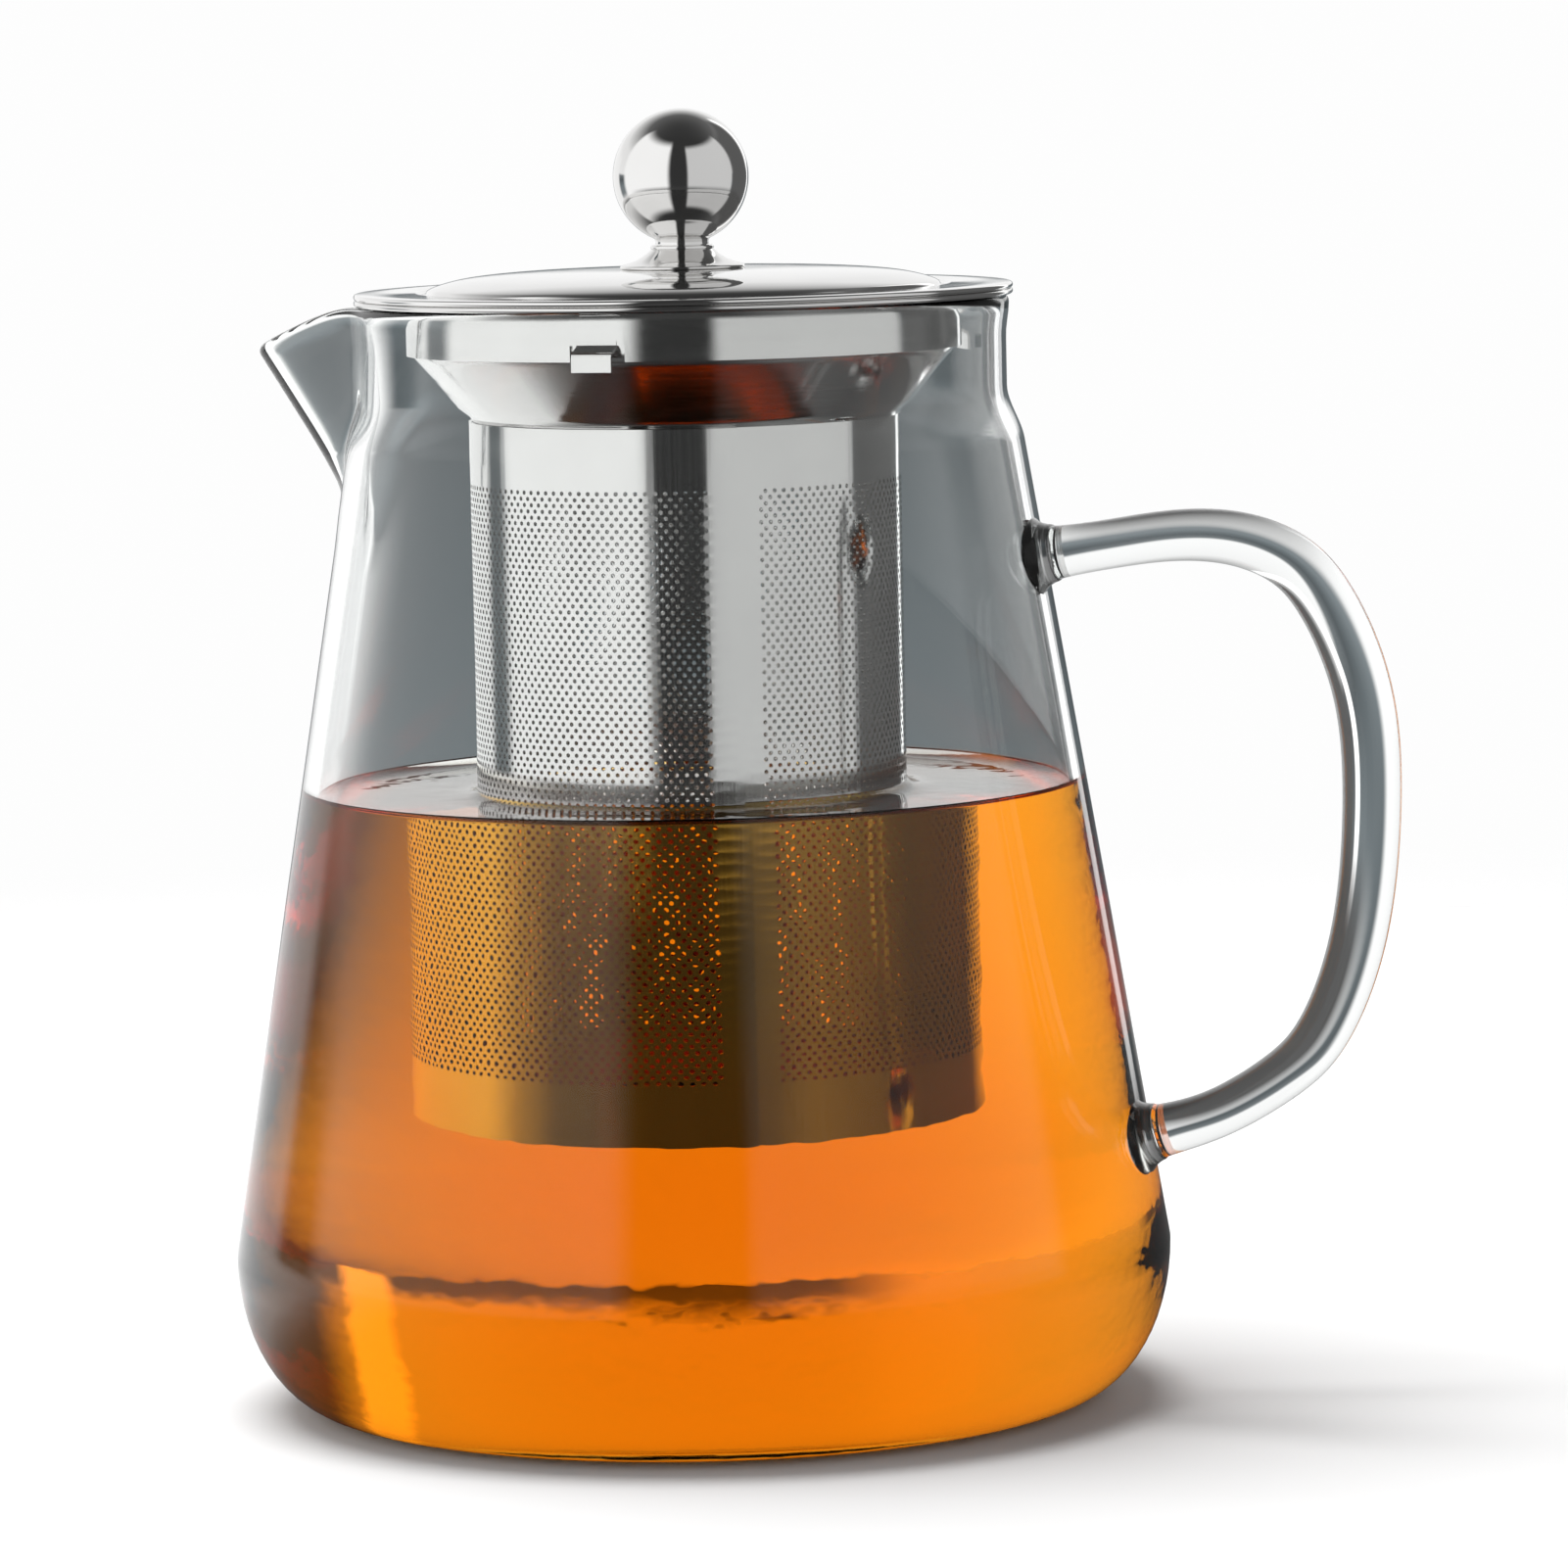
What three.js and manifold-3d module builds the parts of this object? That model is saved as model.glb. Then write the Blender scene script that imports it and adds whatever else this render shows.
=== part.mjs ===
// Glass teapot with a lift-out steel infuser and a steel lid. Millimetres, +Z up.
// Origin: centre of the flat foot of the glass, on the table. The handle points along +X, the spout along -X.
// Three bodies: the pot (glass, with its handle), the infuser (hangs from the rim), the lid (rests on the infuser).
import * as THREE from "three";
import { mergeVertices } from "three/addons/utils/BufferGeometryUtils.js";
import { ConvexGeometry } from "three/addons/geometries/ConvexGeometry.js";
import Module from "manifold-3d";

// Glass pot, outer sizes
const FOOT_R = 49;
const BELLY_R = 62;
const HEEL_Z = 20.3;
const NECK_R = 42.3;
const NECK_H = 12;
const SHOULDER_STEP = 2.2;
const SHOULDER_DROP = 19;
const RIM_Z = 145.5;
const RIM_BEAD = 0.5;
const WALL = 2.2;
const FOOT_WALL = 3;

// Spout, pulled out of the rim
const SPOUT_OUT = 15.9;
const SPOUT_DROP = 5.6;
const SPOUT_DEPTH = 26;
const SPOUT_ROOT_HALF_WIDTH = 15;
const SPOUT_TIP_HALF_WIDTH = 4.6;
const SPOUT_TIP_DEPTH = 3.6;
const SPOUT_WALL = 2.2;

// Handle, a solid glass rod with an oval section, and the gobs of glass that hold it
const HANDLE_OUT = 28.5;
const HANDLE_TOP_DROP = 33.5;
const HANDLE_LOW_Z = 36;
const HANDLE_THICK = 7;
const HANDLE_WIDE = 9.4;
const BOSS_LENGTH = 2.6;
const BOSS_FLARE = 1.4;
const BOSS_NECK_GROW = 0.7;

// Infuser, pressed from steel sheet
const SHEET = 0.4;
const HEM_OVERHANG = 0.5;
const HEM_THICK = 0.8;
const COLLAR_GAP = 3.6;
const COLLAR_H = 6.8;
const SLEEVE_R = 28.2;
const FUNNEL_H = 9.5;
const SPIGOT_H = 3;
const SLEEVE_H = 92.7;
const FLOOR_LIP_H = 4;
const TAB_COUNT = 3;
const TAB_WIDE = 5.2;
const TAB_TALL = 3.4;
const TAB_BEND = 2.4;
const TAB_SLOT = 1;
const TAB_ANGLE = -93.5;

// Lid, pressed from steel sheet
const LID_SHEET = 0.4;
const LID_HEM_THICK = 0.8;
const DOME_SETBACK = 2.7;
const DOME_H = 2.5;
const DOME_SHOULDER = 4.2;
const DOME_CROWN = 1;
const GROOVE_WIDE = 0.9;
const GROOVE_DEEP = 0.4;
const SKIRT_H = 7;
const SKIRT_LEDGE = 3;

// Knob
const BALL_R = 8.9;
const WAIST_R = 3.6;
const KNOB_FOOT_R = 8.25;
const KNOB_FOOT_H = 3.9;
const KNOB_FOOT_EDGE = 0.5;
const SCREW_R = 2;
const SCREW_HEAD_R = 3.8;
const SCREW_HEAD_H = 2.4;
const SCREW_GRIP = 6;
const WASHER_R = 5;
const WASHER_H = 0.8;

// Clearances
const MELT_GAP = 0.3;
const WELD_GAP = 0.05;
const LID_PLAY = 0.4;
const SCREW_PLAY = 0.15;

// Steps round a turned piece
const POT_STEPS = 60;
const SHEET_STEPS = 48;
const SMALL_STEPS = 24;
const SPOUT_STEPS = 8;

// Radii and levels that follow from the sizes above
const SHOULDER_R = NECK_R + SHOULDER_STEP;
const SHOULDER_Z = RIM_Z - SHOULDER_DROP;
const SPOUT_REACH = NECK_R + SPOUT_OUT;
const HANDLE_REACH = BELLY_R + HANDLE_OUT;
const HANDLE_TOP_Z = RIM_Z - HANDLE_TOP_DROP;
const COLLAR_R = NECK_R - WALL - COLLAR_GAP;
const HEM_R = NECK_R + RIM_BEAD + HEM_OVERHANG;
const LID_R = HEM_R;
const DOME_R = COLLAR_R - DOME_SETBACK;
const NECK_Z = RIM_Z - NECK_H;
const COLLAR_LOW_Z = RIM_Z - COLLAR_H + SHEET;
const SLEEVE_TOP_Z = COLLAR_LOW_Z - FUNNEL_H;
const SLEEVE_LOW_Z = SLEEVE_TOP_Z - SLEEVE_H;
const LID_LOW_Z = RIM_Z + HEM_THICK;
const LID_TOP_Z = LID_LOW_Z + LID_HEM_THICK;
const LID_UNDER_Z = LID_TOP_Z - LID_SHEET;
const DOME_TOP_Z = LID_TOP_Z + DOME_H;
const BALL_Z = DOME_TOP_Z + KNOB_FOOT_H + Math.sqrt(BALL_R ** 2 - WAIST_R ** 2);

const wasm = await Module();
wasm.setup();

function solidOf(geometry) {
  const bare = geometry.clone();
  bare.deleteAttribute("normal");
  bare.deleteAttribute("uv");
  const merged = mergeVertices(bare, 1e-3);
  return new wasm.Manifold(
    new wasm.Mesh({
      numProp: 3,
      vertProperties: merged.attributes.position.array,
      triVerts: new Uint32Array(merged.index.array),
    }),
  );
}

function geometryOf(solid) {
  const mesh = solid.getMesh();
  const geometry = new THREE.BufferGeometry();
  geometry.setAttribute("position", new THREE.BufferAttribute(mesh.vertProperties, 3));
  geometry.setIndex(new THREE.BufferAttribute(mesh.triVerts, 1));
  return geometry;
}

// An outline in (radius, height), turned about +Z. A ring's outline closes on itself.
function turned(outline, steps) {
  return new THREE.LatheGeometry(outline, steps).rotateX(Math.PI / 2);
}

function ringOutline(draw) {
  const path = new THREE.Path();
  draw(path);
  path.closePath();
  return path.getPoints(4);
}

const steel = (roughness) => new THREE.MeshStandardMaterial({ color: 0xc9cacb, metalness: 1, roughness });
const glass = () =>
  new THREE.MeshStandardMaterial({
    color: 0xdde3e4,
    metalness: 0,
    roughness: 0.03,
    transparent: true,
    opacity: 0.35,
  });

function part(name, geometry, material) {
  const mesh = new THREE.Mesh(geometry, material);
  mesh.name = name;
  return mesh;
}

// ---- Glass pot -------------------------------------------------------------

// The pot as a filled solid, drawn in by "inset" at the walls and raised by "lift" at the foot.
function potFill(inset, lift, top, bead) {
  const path = new THREE.Path();
  path.moveTo(0, lift);
  path.lineTo(FOOT_R, lift);
  path.absellipse(FOOT_R, HEEL_Z, BELLY_R - FOOT_R - inset, HEEL_Z - lift, -Math.PI / 2, 0, false);
  path.lineTo(SHOULDER_R - inset, SHOULDER_Z);
  path.quadraticCurveTo(NECK_R + 0.4 - inset, NECK_Z - 4, NECK_R - inset, NECK_Z);
  path.lineTo(NECK_R - inset, RIM_Z - 6 * RIM_BEAD);
  path.lineTo(NECK_R + bead - inset, RIM_Z - 3 * RIM_BEAD);
  path.lineTo(NECK_R + bead - inset, RIM_Z - RIM_BEAD);
  path.lineTo(NECK_R - inset, top);
  path.lineTo(0, top);
  return turned(path.getPoints(4), POT_STEPS);
}

// Radius of the cone's outside at a height between the heel and the shoulder.
function coneRadius(z) {
  return BELLY_R + ((SHOULDER_R - BELLY_R) * (z - HEEL_Z)) / (SHOULDER_Z - HEEL_Z);
}

// Half an ellipse hung from a lip: the spout's cross-section from one edge under the keel to the other.
function spoutSection(lip, keel, halfWidth) {
  const drop = keel.clone().sub(lip);
  const points = [];
  for (let i = 0; i <= SPOUT_STEPS; i++) {
    const turn = (Math.PI * i) / SPOUT_STEPS;
    const across = new THREE.Vector3(0, halfWidth * Math.cos(turn), 0);
    points.push(lip.clone().add(across).addScaledVector(drop, Math.sin(turn)));
  }
  return points;
}

// The spout as a filled solid between its root inside the neck and its tip.
function spoutFill(inset, rise, rootX) {
  const tipLip = new THREE.Vector3(-SPOUT_REACH + inset + 1.2, 0, RIM_Z - SPOUT_DROP + rise);
  const tipKeel = new THREE.Vector3(-SPOUT_REACH + inset, 0, RIM_Z - SPOUT_DROP - SPOUT_TIP_DEPTH / 3 + inset / 3);
  const noseKeel = new THREE.Vector3(-SPOUT_REACH + inset + 1, 0, RIM_Z - SPOUT_DROP - SPOUT_TIP_DEPTH + inset);
  const rootZ = RIM_Z - SPOUT_DEPTH;
  const rootKeel = new THREE.Vector3(-coneRadius(rootZ) + inset, 0, rootZ + inset / 2);
  const rootLip = new THREE.Vector3(rootX, 0, RIM_Z + rise);
  return new ConvexGeometry([
    ...spoutSection(rootLip, rootKeel, SPOUT_ROOT_HALF_WIDTH - inset),
    ...spoutSection(tipLip, tipKeel, SPOUT_TIP_HALF_WIDTH - inset),
    ...spoutSection(tipLip, noseKeel, SPOUT_TIP_HALF_WIDTH - inset),
  ]);
}

function potBody() {
  const outside = solidOf(potFill(0, 0, RIM_Z, RIM_BEAD)).add(solidOf(spoutFill(0, 0, -NECK_R + WALL)));
  const hollow = solidOf(potFill(WALL, FOOT_WALL, RIM_Z + 1, 0));
  const channel = solidOf(spoutFill(SPOUT_WALL, 3, -NECK_R + 2 * WALL));
  return geometryOf(outside.subtract(hollow).subtract(channel));
}

// ---- Handle ----------------------------------------------------------------

// Where the rod leaves each boss, and the direction it leaves in.
const bossOuter = (z) => coneRadius(z) + MELT_GAP + BOSS_LENGTH;
const rodTop = new THREE.Vector3(bossOuter(HANDLE_TOP_Z) + MELT_GAP, 0, HANDLE_TOP_Z);
const rodLow = new THREE.Vector3(bossOuter(HANDLE_LOW_Z) + MELT_GAP, 0, HANDLE_LOW_Z);

function handleCurve() {
  const reach = HANDLE_REACH;
  return new THREE.CatmullRomCurve3(
    [
      rodTop,
      new THREE.Vector3(reach - 33.1, 0, HANDLE_TOP_Z + 1.2),
      new THREE.Vector3(reach - 26, 0, HANDLE_TOP_Z + 2.1),
      new THREE.Vector3(reach - 18, 0, HANDLE_TOP_Z + 1.8),
      new THREE.Vector3(reach - 10.9, 0, HANDLE_TOP_Z - 0.8),
      new THREE.Vector3(reach - 6.1, 0, HANDLE_TOP_Z - 5.8),
      new THREE.Vector3(reach - 1.3, 0, HANDLE_TOP_Z - 17.2),
      new THREE.Vector3(reach, 0, (HANDLE_TOP_Z + HANDLE_LOW_Z) / 2 + 6),
      new THREE.Vector3(reach - 2.2, 0, HANDLE_LOW_Z + 25.1),
      new THREE.Vector3(reach - 7.3, 0, HANDLE_LOW_Z + 12.6),
      new THREE.Vector3(reach - 12.2, 0, HANDLE_LOW_Z + 7.6),
      new THREE.Vector3(reach - 20.8, 0, HANDLE_LOW_Z + 2.5),
      rodLow,
    ],
    false,
    "centripetal",
  );
}

function handle() {
  const section = new THREE.Shape();
  section.absellipse(0, 0, HANDLE_WIDE / 2, HANDLE_THICK / 2, 0, 2 * Math.PI);
  return new THREE.ExtrudeGeometry(section, {
    steps: 36,
    curveSegments: 5,
    bevelEnabled: false,
    extrudePath: handleCurve(),
  });
}

// A collar of glass from the wall to the rod's end, flared where it melts into the wall. Built along +Z, then
// turned to lie along the rod, and trimmed to the cone with the melt gap.
function boss(rodEnd, rodAhead) {
  const neck = HANDLE_WIDE / 2 + BOSS_NECK_GROW;
  const squash = (HANDLE_THICK / 2 + BOSS_NECK_GROW) / neck;
  const sunk = 4;
  const path = new THREE.Path();
  path.moveTo(0, -sunk - BOSS_LENGTH);
  path.lineTo(neck + BOSS_FLARE, -sunk - BOSS_LENGTH);
  path.lineTo(neck + BOSS_FLARE, -BOSS_LENGTH);
  path.quadraticCurveTo(neck, -BOSS_LENGTH + 1, neck, -BOSS_LENGTH / 2);
  path.lineTo(neck, -1);
  path.quadraticCurveTo(neck, 0, neck - 1, 0);
  path.lineTo(0, 0);
  const along = rodEnd.clone().sub(rodAhead).normalize();
  const blank = turned(path.getPoints(4), SMALL_STEPS).scale(squash, 1, 1);
  blank.rotateY(Math.atan2(-along.x, -along.z));
  const face = rodEnd.clone().addScaledVector(along, MELT_GAP);
  blank.translate(face.x, face.y, face.z);
  return geometryOf(solidOf(blank).subtract(solidOf(potFill(-MELT_GAP, 0, RIM_Z, 0))));
}

// ---- Infuser ---------------------------------------------------------------

// Flange with a rolled hem, and the upright collar band below it.
function infuserRim() {
  const roll = HEM_THICK / 2;
  const outline = ringOutline((path) => {
    path.moveTo(COLLAR_R, COLLAR_LOW_Z);
    path.lineTo(COLLAR_R, RIM_Z - 0.4);
    path.lineTo(COLLAR_R + 0.4, RIM_Z);
    path.lineTo(HEM_R - roll, RIM_Z);
    path.absarc(HEM_R - roll, RIM_Z + roll, roll, -Math.PI / 2, Math.PI / 2, false);
    path.lineTo(HEM_R - 2 * roll, RIM_Z + SHEET);
    path.lineTo(COLLAR_R, RIM_Z + SHEET);
    path.lineTo(COLLAR_R - SHEET, RIM_Z - 0.2);
    path.lineTo(COLLAR_R - SHEET, COLLAR_LOW_Z);
  });
  let rim = solidOf(turned(outline, SHEET_STEPS));
  for (let i = 0; i < TAB_COUNT; i++) {
    const angle = THREE.MathUtils.degToRad(TAB_ANGLE + (360 * i) / TAB_COUNT);
    rim = rim.subtract(solidOf(tabSlot().rotateZ(angle))).add(solidOf(springTab().rotateZ(angle)));
  }
  return geometryOf(rim);
}

// The slot that frees a tab from the band: on both sides of it and below.
function tabSlot() {
  const tall = TAB_TALL - TAB_BEND / 2;
  const slot = new THREE.BoxGeometry(4 * SHEET, TAB_WIDE + 2 * TAB_SLOT, tall);
  return slot.translate(COLLAR_R - SHEET / 2, 0, COLLAR_LOW_Z + tall / 2);
}

// A tab bent out of the band towards the glass neck.
function springTab() {
  const top = COLLAR_LOW_Z + TAB_TALL - TAB_BEND / 2;
  const side = new THREE.Shape();
  side.moveTo(COLLAR_R - SHEET, top + SHEET);
  side.lineTo(COLLAR_R - SHEET, top);
  side.lineTo(COLLAR_R + TAB_BEND - SHEET, top - TAB_BEND / 2);
  side.lineTo(COLLAR_R + TAB_BEND - SHEET, top - TAB_TALL);
  side.lineTo(COLLAR_R + TAB_BEND, top - TAB_TALL);
  side.lineTo(COLLAR_R + TAB_BEND, top - TAB_BEND / 2 + SHEET / 2);
  side.lineTo(COLLAR_R - SHEET / 4, top + SHEET);
  const tab = new THREE.ExtrudeGeometry(side, { depth: TAB_WIDE, bevelEnabled: false });
  return tab.rotateX(Math.PI / 2).translate(0, TAB_WIDE / 2, 0);
}

// Cone from the collar down to the sleeve, with a short spigot at each end.
function infuserFunnel() {
  const top = COLLAR_R - SHEET - WELD_GAP;
  const low = SLEEVE_R - SHEET - WELD_GAP;
  return turned(
    ringOutline((path) => {
      path.moveTo(top, COLLAR_LOW_Z + SPIGOT_H);
      path.lineTo(top - SHEET, COLLAR_LOW_Z + SPIGOT_H);
      path.lineTo(top - SHEET, COLLAR_LOW_Z + SHEET / 2);
      path.lineTo(low - SHEET, SLEEVE_TOP_Z);
      path.lineTo(low - SHEET, SLEEVE_TOP_Z - SPIGOT_H);
      path.lineTo(low, SLEEVE_TOP_Z - SPIGOT_H);
      path.lineTo(low, SLEEVE_TOP_Z);
      path.lineTo(SLEEVE_R, SLEEVE_TOP_Z);
      path.lineTo(COLLAR_R, COLLAR_LOW_Z);
      path.lineTo(top, COLLAR_LOW_Z);
    }),
    SHEET_STEPS,
  );
}

// The rolled strainer tube. Its fine holes are left to the finished surface.
function infuserSleeve() {
  return turned(
    ringOutline((path) => {
      path.moveTo(SLEEVE_R, SLEEVE_LOW_Z);
      path.lineTo(SLEEVE_R, SLEEVE_TOP_Z);
      path.lineTo(SLEEVE_R - SHEET, SLEEVE_TOP_Z);
      path.lineTo(SLEEVE_R - SHEET, SLEEVE_LOW_Z);
    }),
    SHEET_STEPS,
  );
}

// Floor disc with an upturned lip, pressed into the sleeve's lower end.
function infuserFloor() {
  const r = SLEEVE_R - SHEET - WELD_GAP;
  return turned(
    [
      new THREE.Vector2(0, SLEEVE_LOW_Z),
      new THREE.Vector2(r - SHEET, SLEEVE_LOW_Z),
      new THREE.Vector2(r, SLEEVE_LOW_Z + SHEET),
      new THREE.Vector2(r, SLEEVE_LOW_Z + FLOOR_LIP_H),
      new THREE.Vector2(r - SHEET, SLEEVE_LOW_Z + FLOOR_LIP_H),
      new THREE.Vector2(r - SHEET, SLEEVE_LOW_Z + 2 * SHEET),
      new THREE.Vector2(r - 2 * SHEET, SLEEVE_LOW_Z + SHEET),
      new THREE.Vector2(0, SLEEVE_LOW_Z + SHEET),
    ],
    SHEET_STEPS,
  );
}

// ---- Lid -------------------------------------------------------------------

// Hemmed flange, a fine groove round the dome, and the low dome with a flat seat for the knob.
function lidCover() {
  const roll = LID_HEM_THICK / 2;
  const seatR = KNOB_FOOT_R + 0.4;
  const hole = SCREW_R + SCREW_PLAY;
  const grooveZ = LID_TOP_Z - GROOVE_DEEP;
  const shoulderZ = DOME_TOP_Z - DOME_CROWN;
  return turned(
    ringOutline((path) => {
      path.moveTo(LID_R - 2 * roll, LID_UNDER_Z);
      path.lineTo(LID_R - roll, LID_LOW_Z);
      path.absarc(LID_R - roll, LID_LOW_Z + roll, roll, -Math.PI / 2, Math.PI / 2, false);
      path.lineTo(DOME_R + GROOVE_WIDE + 0.3, LID_TOP_Z);
      path.lineTo(DOME_R + GROOVE_WIDE, grooveZ);
      path.lineTo(DOME_R, grooveZ);
      path.quadraticCurveTo(DOME_R - 0.2, shoulderZ - 0.8, DOME_R - DOME_SHOULDER, shoulderZ);
      path.lineTo(seatR, DOME_TOP_Z);
      path.lineTo(hole, DOME_TOP_Z);
      path.lineTo(hole, DOME_TOP_Z - LID_SHEET);
      path.lineTo(seatR, DOME_TOP_Z - LID_SHEET);
      path.lineTo(DOME_R - DOME_SHOULDER, shoulderZ - LID_SHEET);
      path.quadraticCurveTo(
        DOME_R - LID_SHEET - 0.2,
        shoulderZ - 0.8 - LID_SHEET,
        DOME_R - LID_SHEET,
        grooveZ - LID_SHEET,
      );
      path.lineTo(DOME_R + GROOVE_WIDE, grooveZ - LID_SHEET);
      path.lineTo(DOME_R + GROOVE_WIDE + 0.4, LID_UNDER_Z);
    }),
    SHEET_STEPS,
  );
}

// Ring welded under the flange. It drops into the infuser's collar and centres the lid.
function lidSkirt() {
  const r = COLLAR_R - SHEET - SHEET - WELD_GAP - LID_PLAY;
  return turned(
    ringOutline((path) => {
      path.moveTo(r, LID_UNDER_Z - SKIRT_H);
      path.lineTo(r, LID_UNDER_Z - SHEET);
      path.lineTo(r + SKIRT_LEDGE, LID_UNDER_Z - SHEET);
      path.lineTo(r + SKIRT_LEDGE, LID_UNDER_Z);
      path.lineTo(r - SHEET + GROOVE_DEEP, LID_UNDER_Z);
      path.lineTo(r - SHEET, LID_UNDER_Z - SHEET);
      path.lineTo(r - SHEET, LID_UNDER_Z - SKIRT_H);
    }),
    SHEET_STEPS,
  );
}

// Trumpet-shaped foot between the dome and the ball.
function knobFoot() {
  const hole = SCREW_R + SCREW_PLAY;
  const top = DOME_TOP_Z + KNOB_FOOT_H;
  return turned(
    ringOutline((path) => {
      path.moveTo(hole, DOME_TOP_Z);
      path.lineTo(KNOB_FOOT_R, DOME_TOP_Z);
      path.lineTo(KNOB_FOOT_R, DOME_TOP_Z + KNOB_FOOT_EDGE);
      path.quadraticCurveTo(WAIST_R + 0.6, DOME_TOP_Z + 0.8, WAIST_R, top);
      path.lineTo(hole, top);
    }),
    SMALL_STEPS,
  );
}

// The ball, flat where it sits on the foot, with a blind hole for the screw.
function knobBall() {
  const seatZ = DOME_TOP_Z + KNOB_FOOT_H;
  const hole = SCREW_R + SCREW_PLAY;
  const path = new THREE.Path();
  path.moveTo(0, seatZ + SCREW_GRIP + 1);
  path.lineTo(hole, seatZ + SCREW_GRIP + 1);
  path.lineTo(hole, seatZ);
  path.lineTo(WAIST_R, seatZ);
  path.absarc(0, BALL_Z, BALL_R, -Math.acos(WAIST_R / BALL_R), Math.PI / 2, false);
  return turned(path.getPoints(6), SMALL_STEPS);
}

function knobScrew() {
  const headTop = DOME_TOP_Z - LID_SHEET - WASHER_H;
  const tip = DOME_TOP_Z + KNOB_FOOT_H + SCREW_GRIP;
  return turned(
    [
      new THREE.Vector2(0, headTop - SCREW_HEAD_H),
      new THREE.Vector2(SCREW_HEAD_R - 0.8, headTop - SCREW_HEAD_H),
      new THREE.Vector2(SCREW_HEAD_R, headTop - SCREW_HEAD_H + 0.9),
      new THREE.Vector2(SCREW_HEAD_R, headTop),
      new THREE.Vector2(SCREW_R, headTop),
      new THREE.Vector2(SCREW_R, tip - 0.5),
      new THREE.Vector2(SCREW_R - 0.5, tip),
      new THREE.Vector2(0, tip),
    ],
    SMALL_STEPS,
  );
}

function knobWasher() {
  const top = DOME_TOP_Z - LID_SHEET;
  const hole = SCREW_R + SCREW_PLAY;
  return turned(
    ringOutline((path) => {
      path.moveTo(hole, top - WASHER_H);
      path.lineTo(WASHER_R, top - WASHER_H);
      path.lineTo(WASHER_R, top);
      path.lineTo(hole, top);
    }),
    SMALL_STEPS,
  );
}

// ---- Assembly --------------------------------------------------------------

const curve = handleCurve();
const pot = new THREE.Group();
pot.add(part("pot_body", potBody(), glass()));
pot.add(part("handle", handle(), glass()));
pot.add(part("handle_upper_boss", boss(rodTop, curve.getPoint(0.01)), glass()));
pot.add(part("handle_lower_boss", boss(rodLow, curve.getPoint(0.99)), glass()));

const infuser = new THREE.Group();
infuser.add(part("infuser_rim", infuserRim(), steel(0.12)));
infuser.add(part("infuser_funnel", infuserFunnel(), steel(0.2)));
infuser.add(part("infuser_sleeve", infuserSleeve(), steel(0.25)));
infuser.add(part("infuser_floor", infuserFloor(), steel(0.2)));

const lid = new THREE.Group();
lid.add(part("lid_cover", lidCover(), steel(0.1)));
lid.add(part("lid_skirt", lidSkirt(), steel(0.2)));
lid.add(part("knob_foot", knobFoot(), steel(0.06)));
lid.add(part("knob_ball", knobBall(), steel(0.04)));
lid.add(part("knob_screw", knobScrew(), steel(0.3)));
lid.add(part("knob_washer", knobWasher(), steel(0.3)));

const teapot = new THREE.Group();
teapot.add(pot, infuser, lid);
export default teapot;
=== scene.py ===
# %% [markdown]
# # A glass teapot, built on its CAD frame
# The teapot is three things that come apart: a glass pot, a steel infuser that hangs from its rim, and a
# steel lid that rests on the infuser. The CAD frame fixes where each one sits and how it lifts off. This
# lesson makes the surfaces: thin clear glass, polished and pressed steel, a sheet with thousands of fine
# holes, and tea. The frame comes first, because every size below is read from it or belongs beside it.

# %% Load the fixed frame
import math

import bmesh
import bpy
import numpy as np
from mathutils import Matrix, Vector


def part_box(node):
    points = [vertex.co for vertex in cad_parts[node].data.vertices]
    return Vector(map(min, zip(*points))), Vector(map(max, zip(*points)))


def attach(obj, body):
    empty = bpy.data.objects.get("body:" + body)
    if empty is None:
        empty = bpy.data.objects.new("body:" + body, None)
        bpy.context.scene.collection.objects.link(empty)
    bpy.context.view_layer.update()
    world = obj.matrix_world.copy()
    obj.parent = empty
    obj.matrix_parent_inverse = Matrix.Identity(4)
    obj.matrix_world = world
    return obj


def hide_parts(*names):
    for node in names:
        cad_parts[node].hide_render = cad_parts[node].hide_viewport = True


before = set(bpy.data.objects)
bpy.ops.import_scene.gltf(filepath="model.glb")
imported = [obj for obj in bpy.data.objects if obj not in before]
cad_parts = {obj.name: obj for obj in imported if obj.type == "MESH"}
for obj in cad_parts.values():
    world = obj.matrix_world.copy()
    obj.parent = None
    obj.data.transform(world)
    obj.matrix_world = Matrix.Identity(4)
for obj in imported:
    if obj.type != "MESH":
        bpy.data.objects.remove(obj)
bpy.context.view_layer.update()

MM = 0.001
scene = bpy.context.scene


def millimetres(node):
    """Lowest and highest corner of a CAD node, in millimetres."""
    low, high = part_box(node)
    return low / MM, high / MM


# %% [markdown]
# ## Sizes
# Heights and radii that the CAD settles are read back from the boxes of its nodes, so a change there moves
# the surface too. What a box can't tell, such as how the heel is rounded, is a named size here.

# %% Sizes from the frame
pot_high = millimetres("pot_body")[1]
BELLY_R = pot_high.y
RIM_Z = pot_high.z
HEM_R = millimetres("infuser_rim")[1].x
SLEEVE_R = millimetres("infuser_sleeve")[1].x
SLEEVE_LOW_Z = millimetres("infuser_sleeve")[0].z
SLEEVE_TOP_Z = millimetres("infuser_sleeve")[1].z
COLLAR_R = millimetres("infuser_funnel")[1].x
LID_TOP_Z = millimetres("lid_cover")[1].z
LID_LOW_Z = millimetres("lid_cover")[0].z
print(f"belly {BELLY_R:.1f}, rim at {RIM_Z:.1f}, sleeve {SLEEVE_R:.1f} mm")

# %% [markdown]
# ## Camera
# A long lens about a metre away keeps the upright lines of the pot nearly parallel. The
# camera stands a little above the lid and a little to the handle's side of square-on, and is turned a touch
# about its own axis, so the pot leans.

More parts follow.
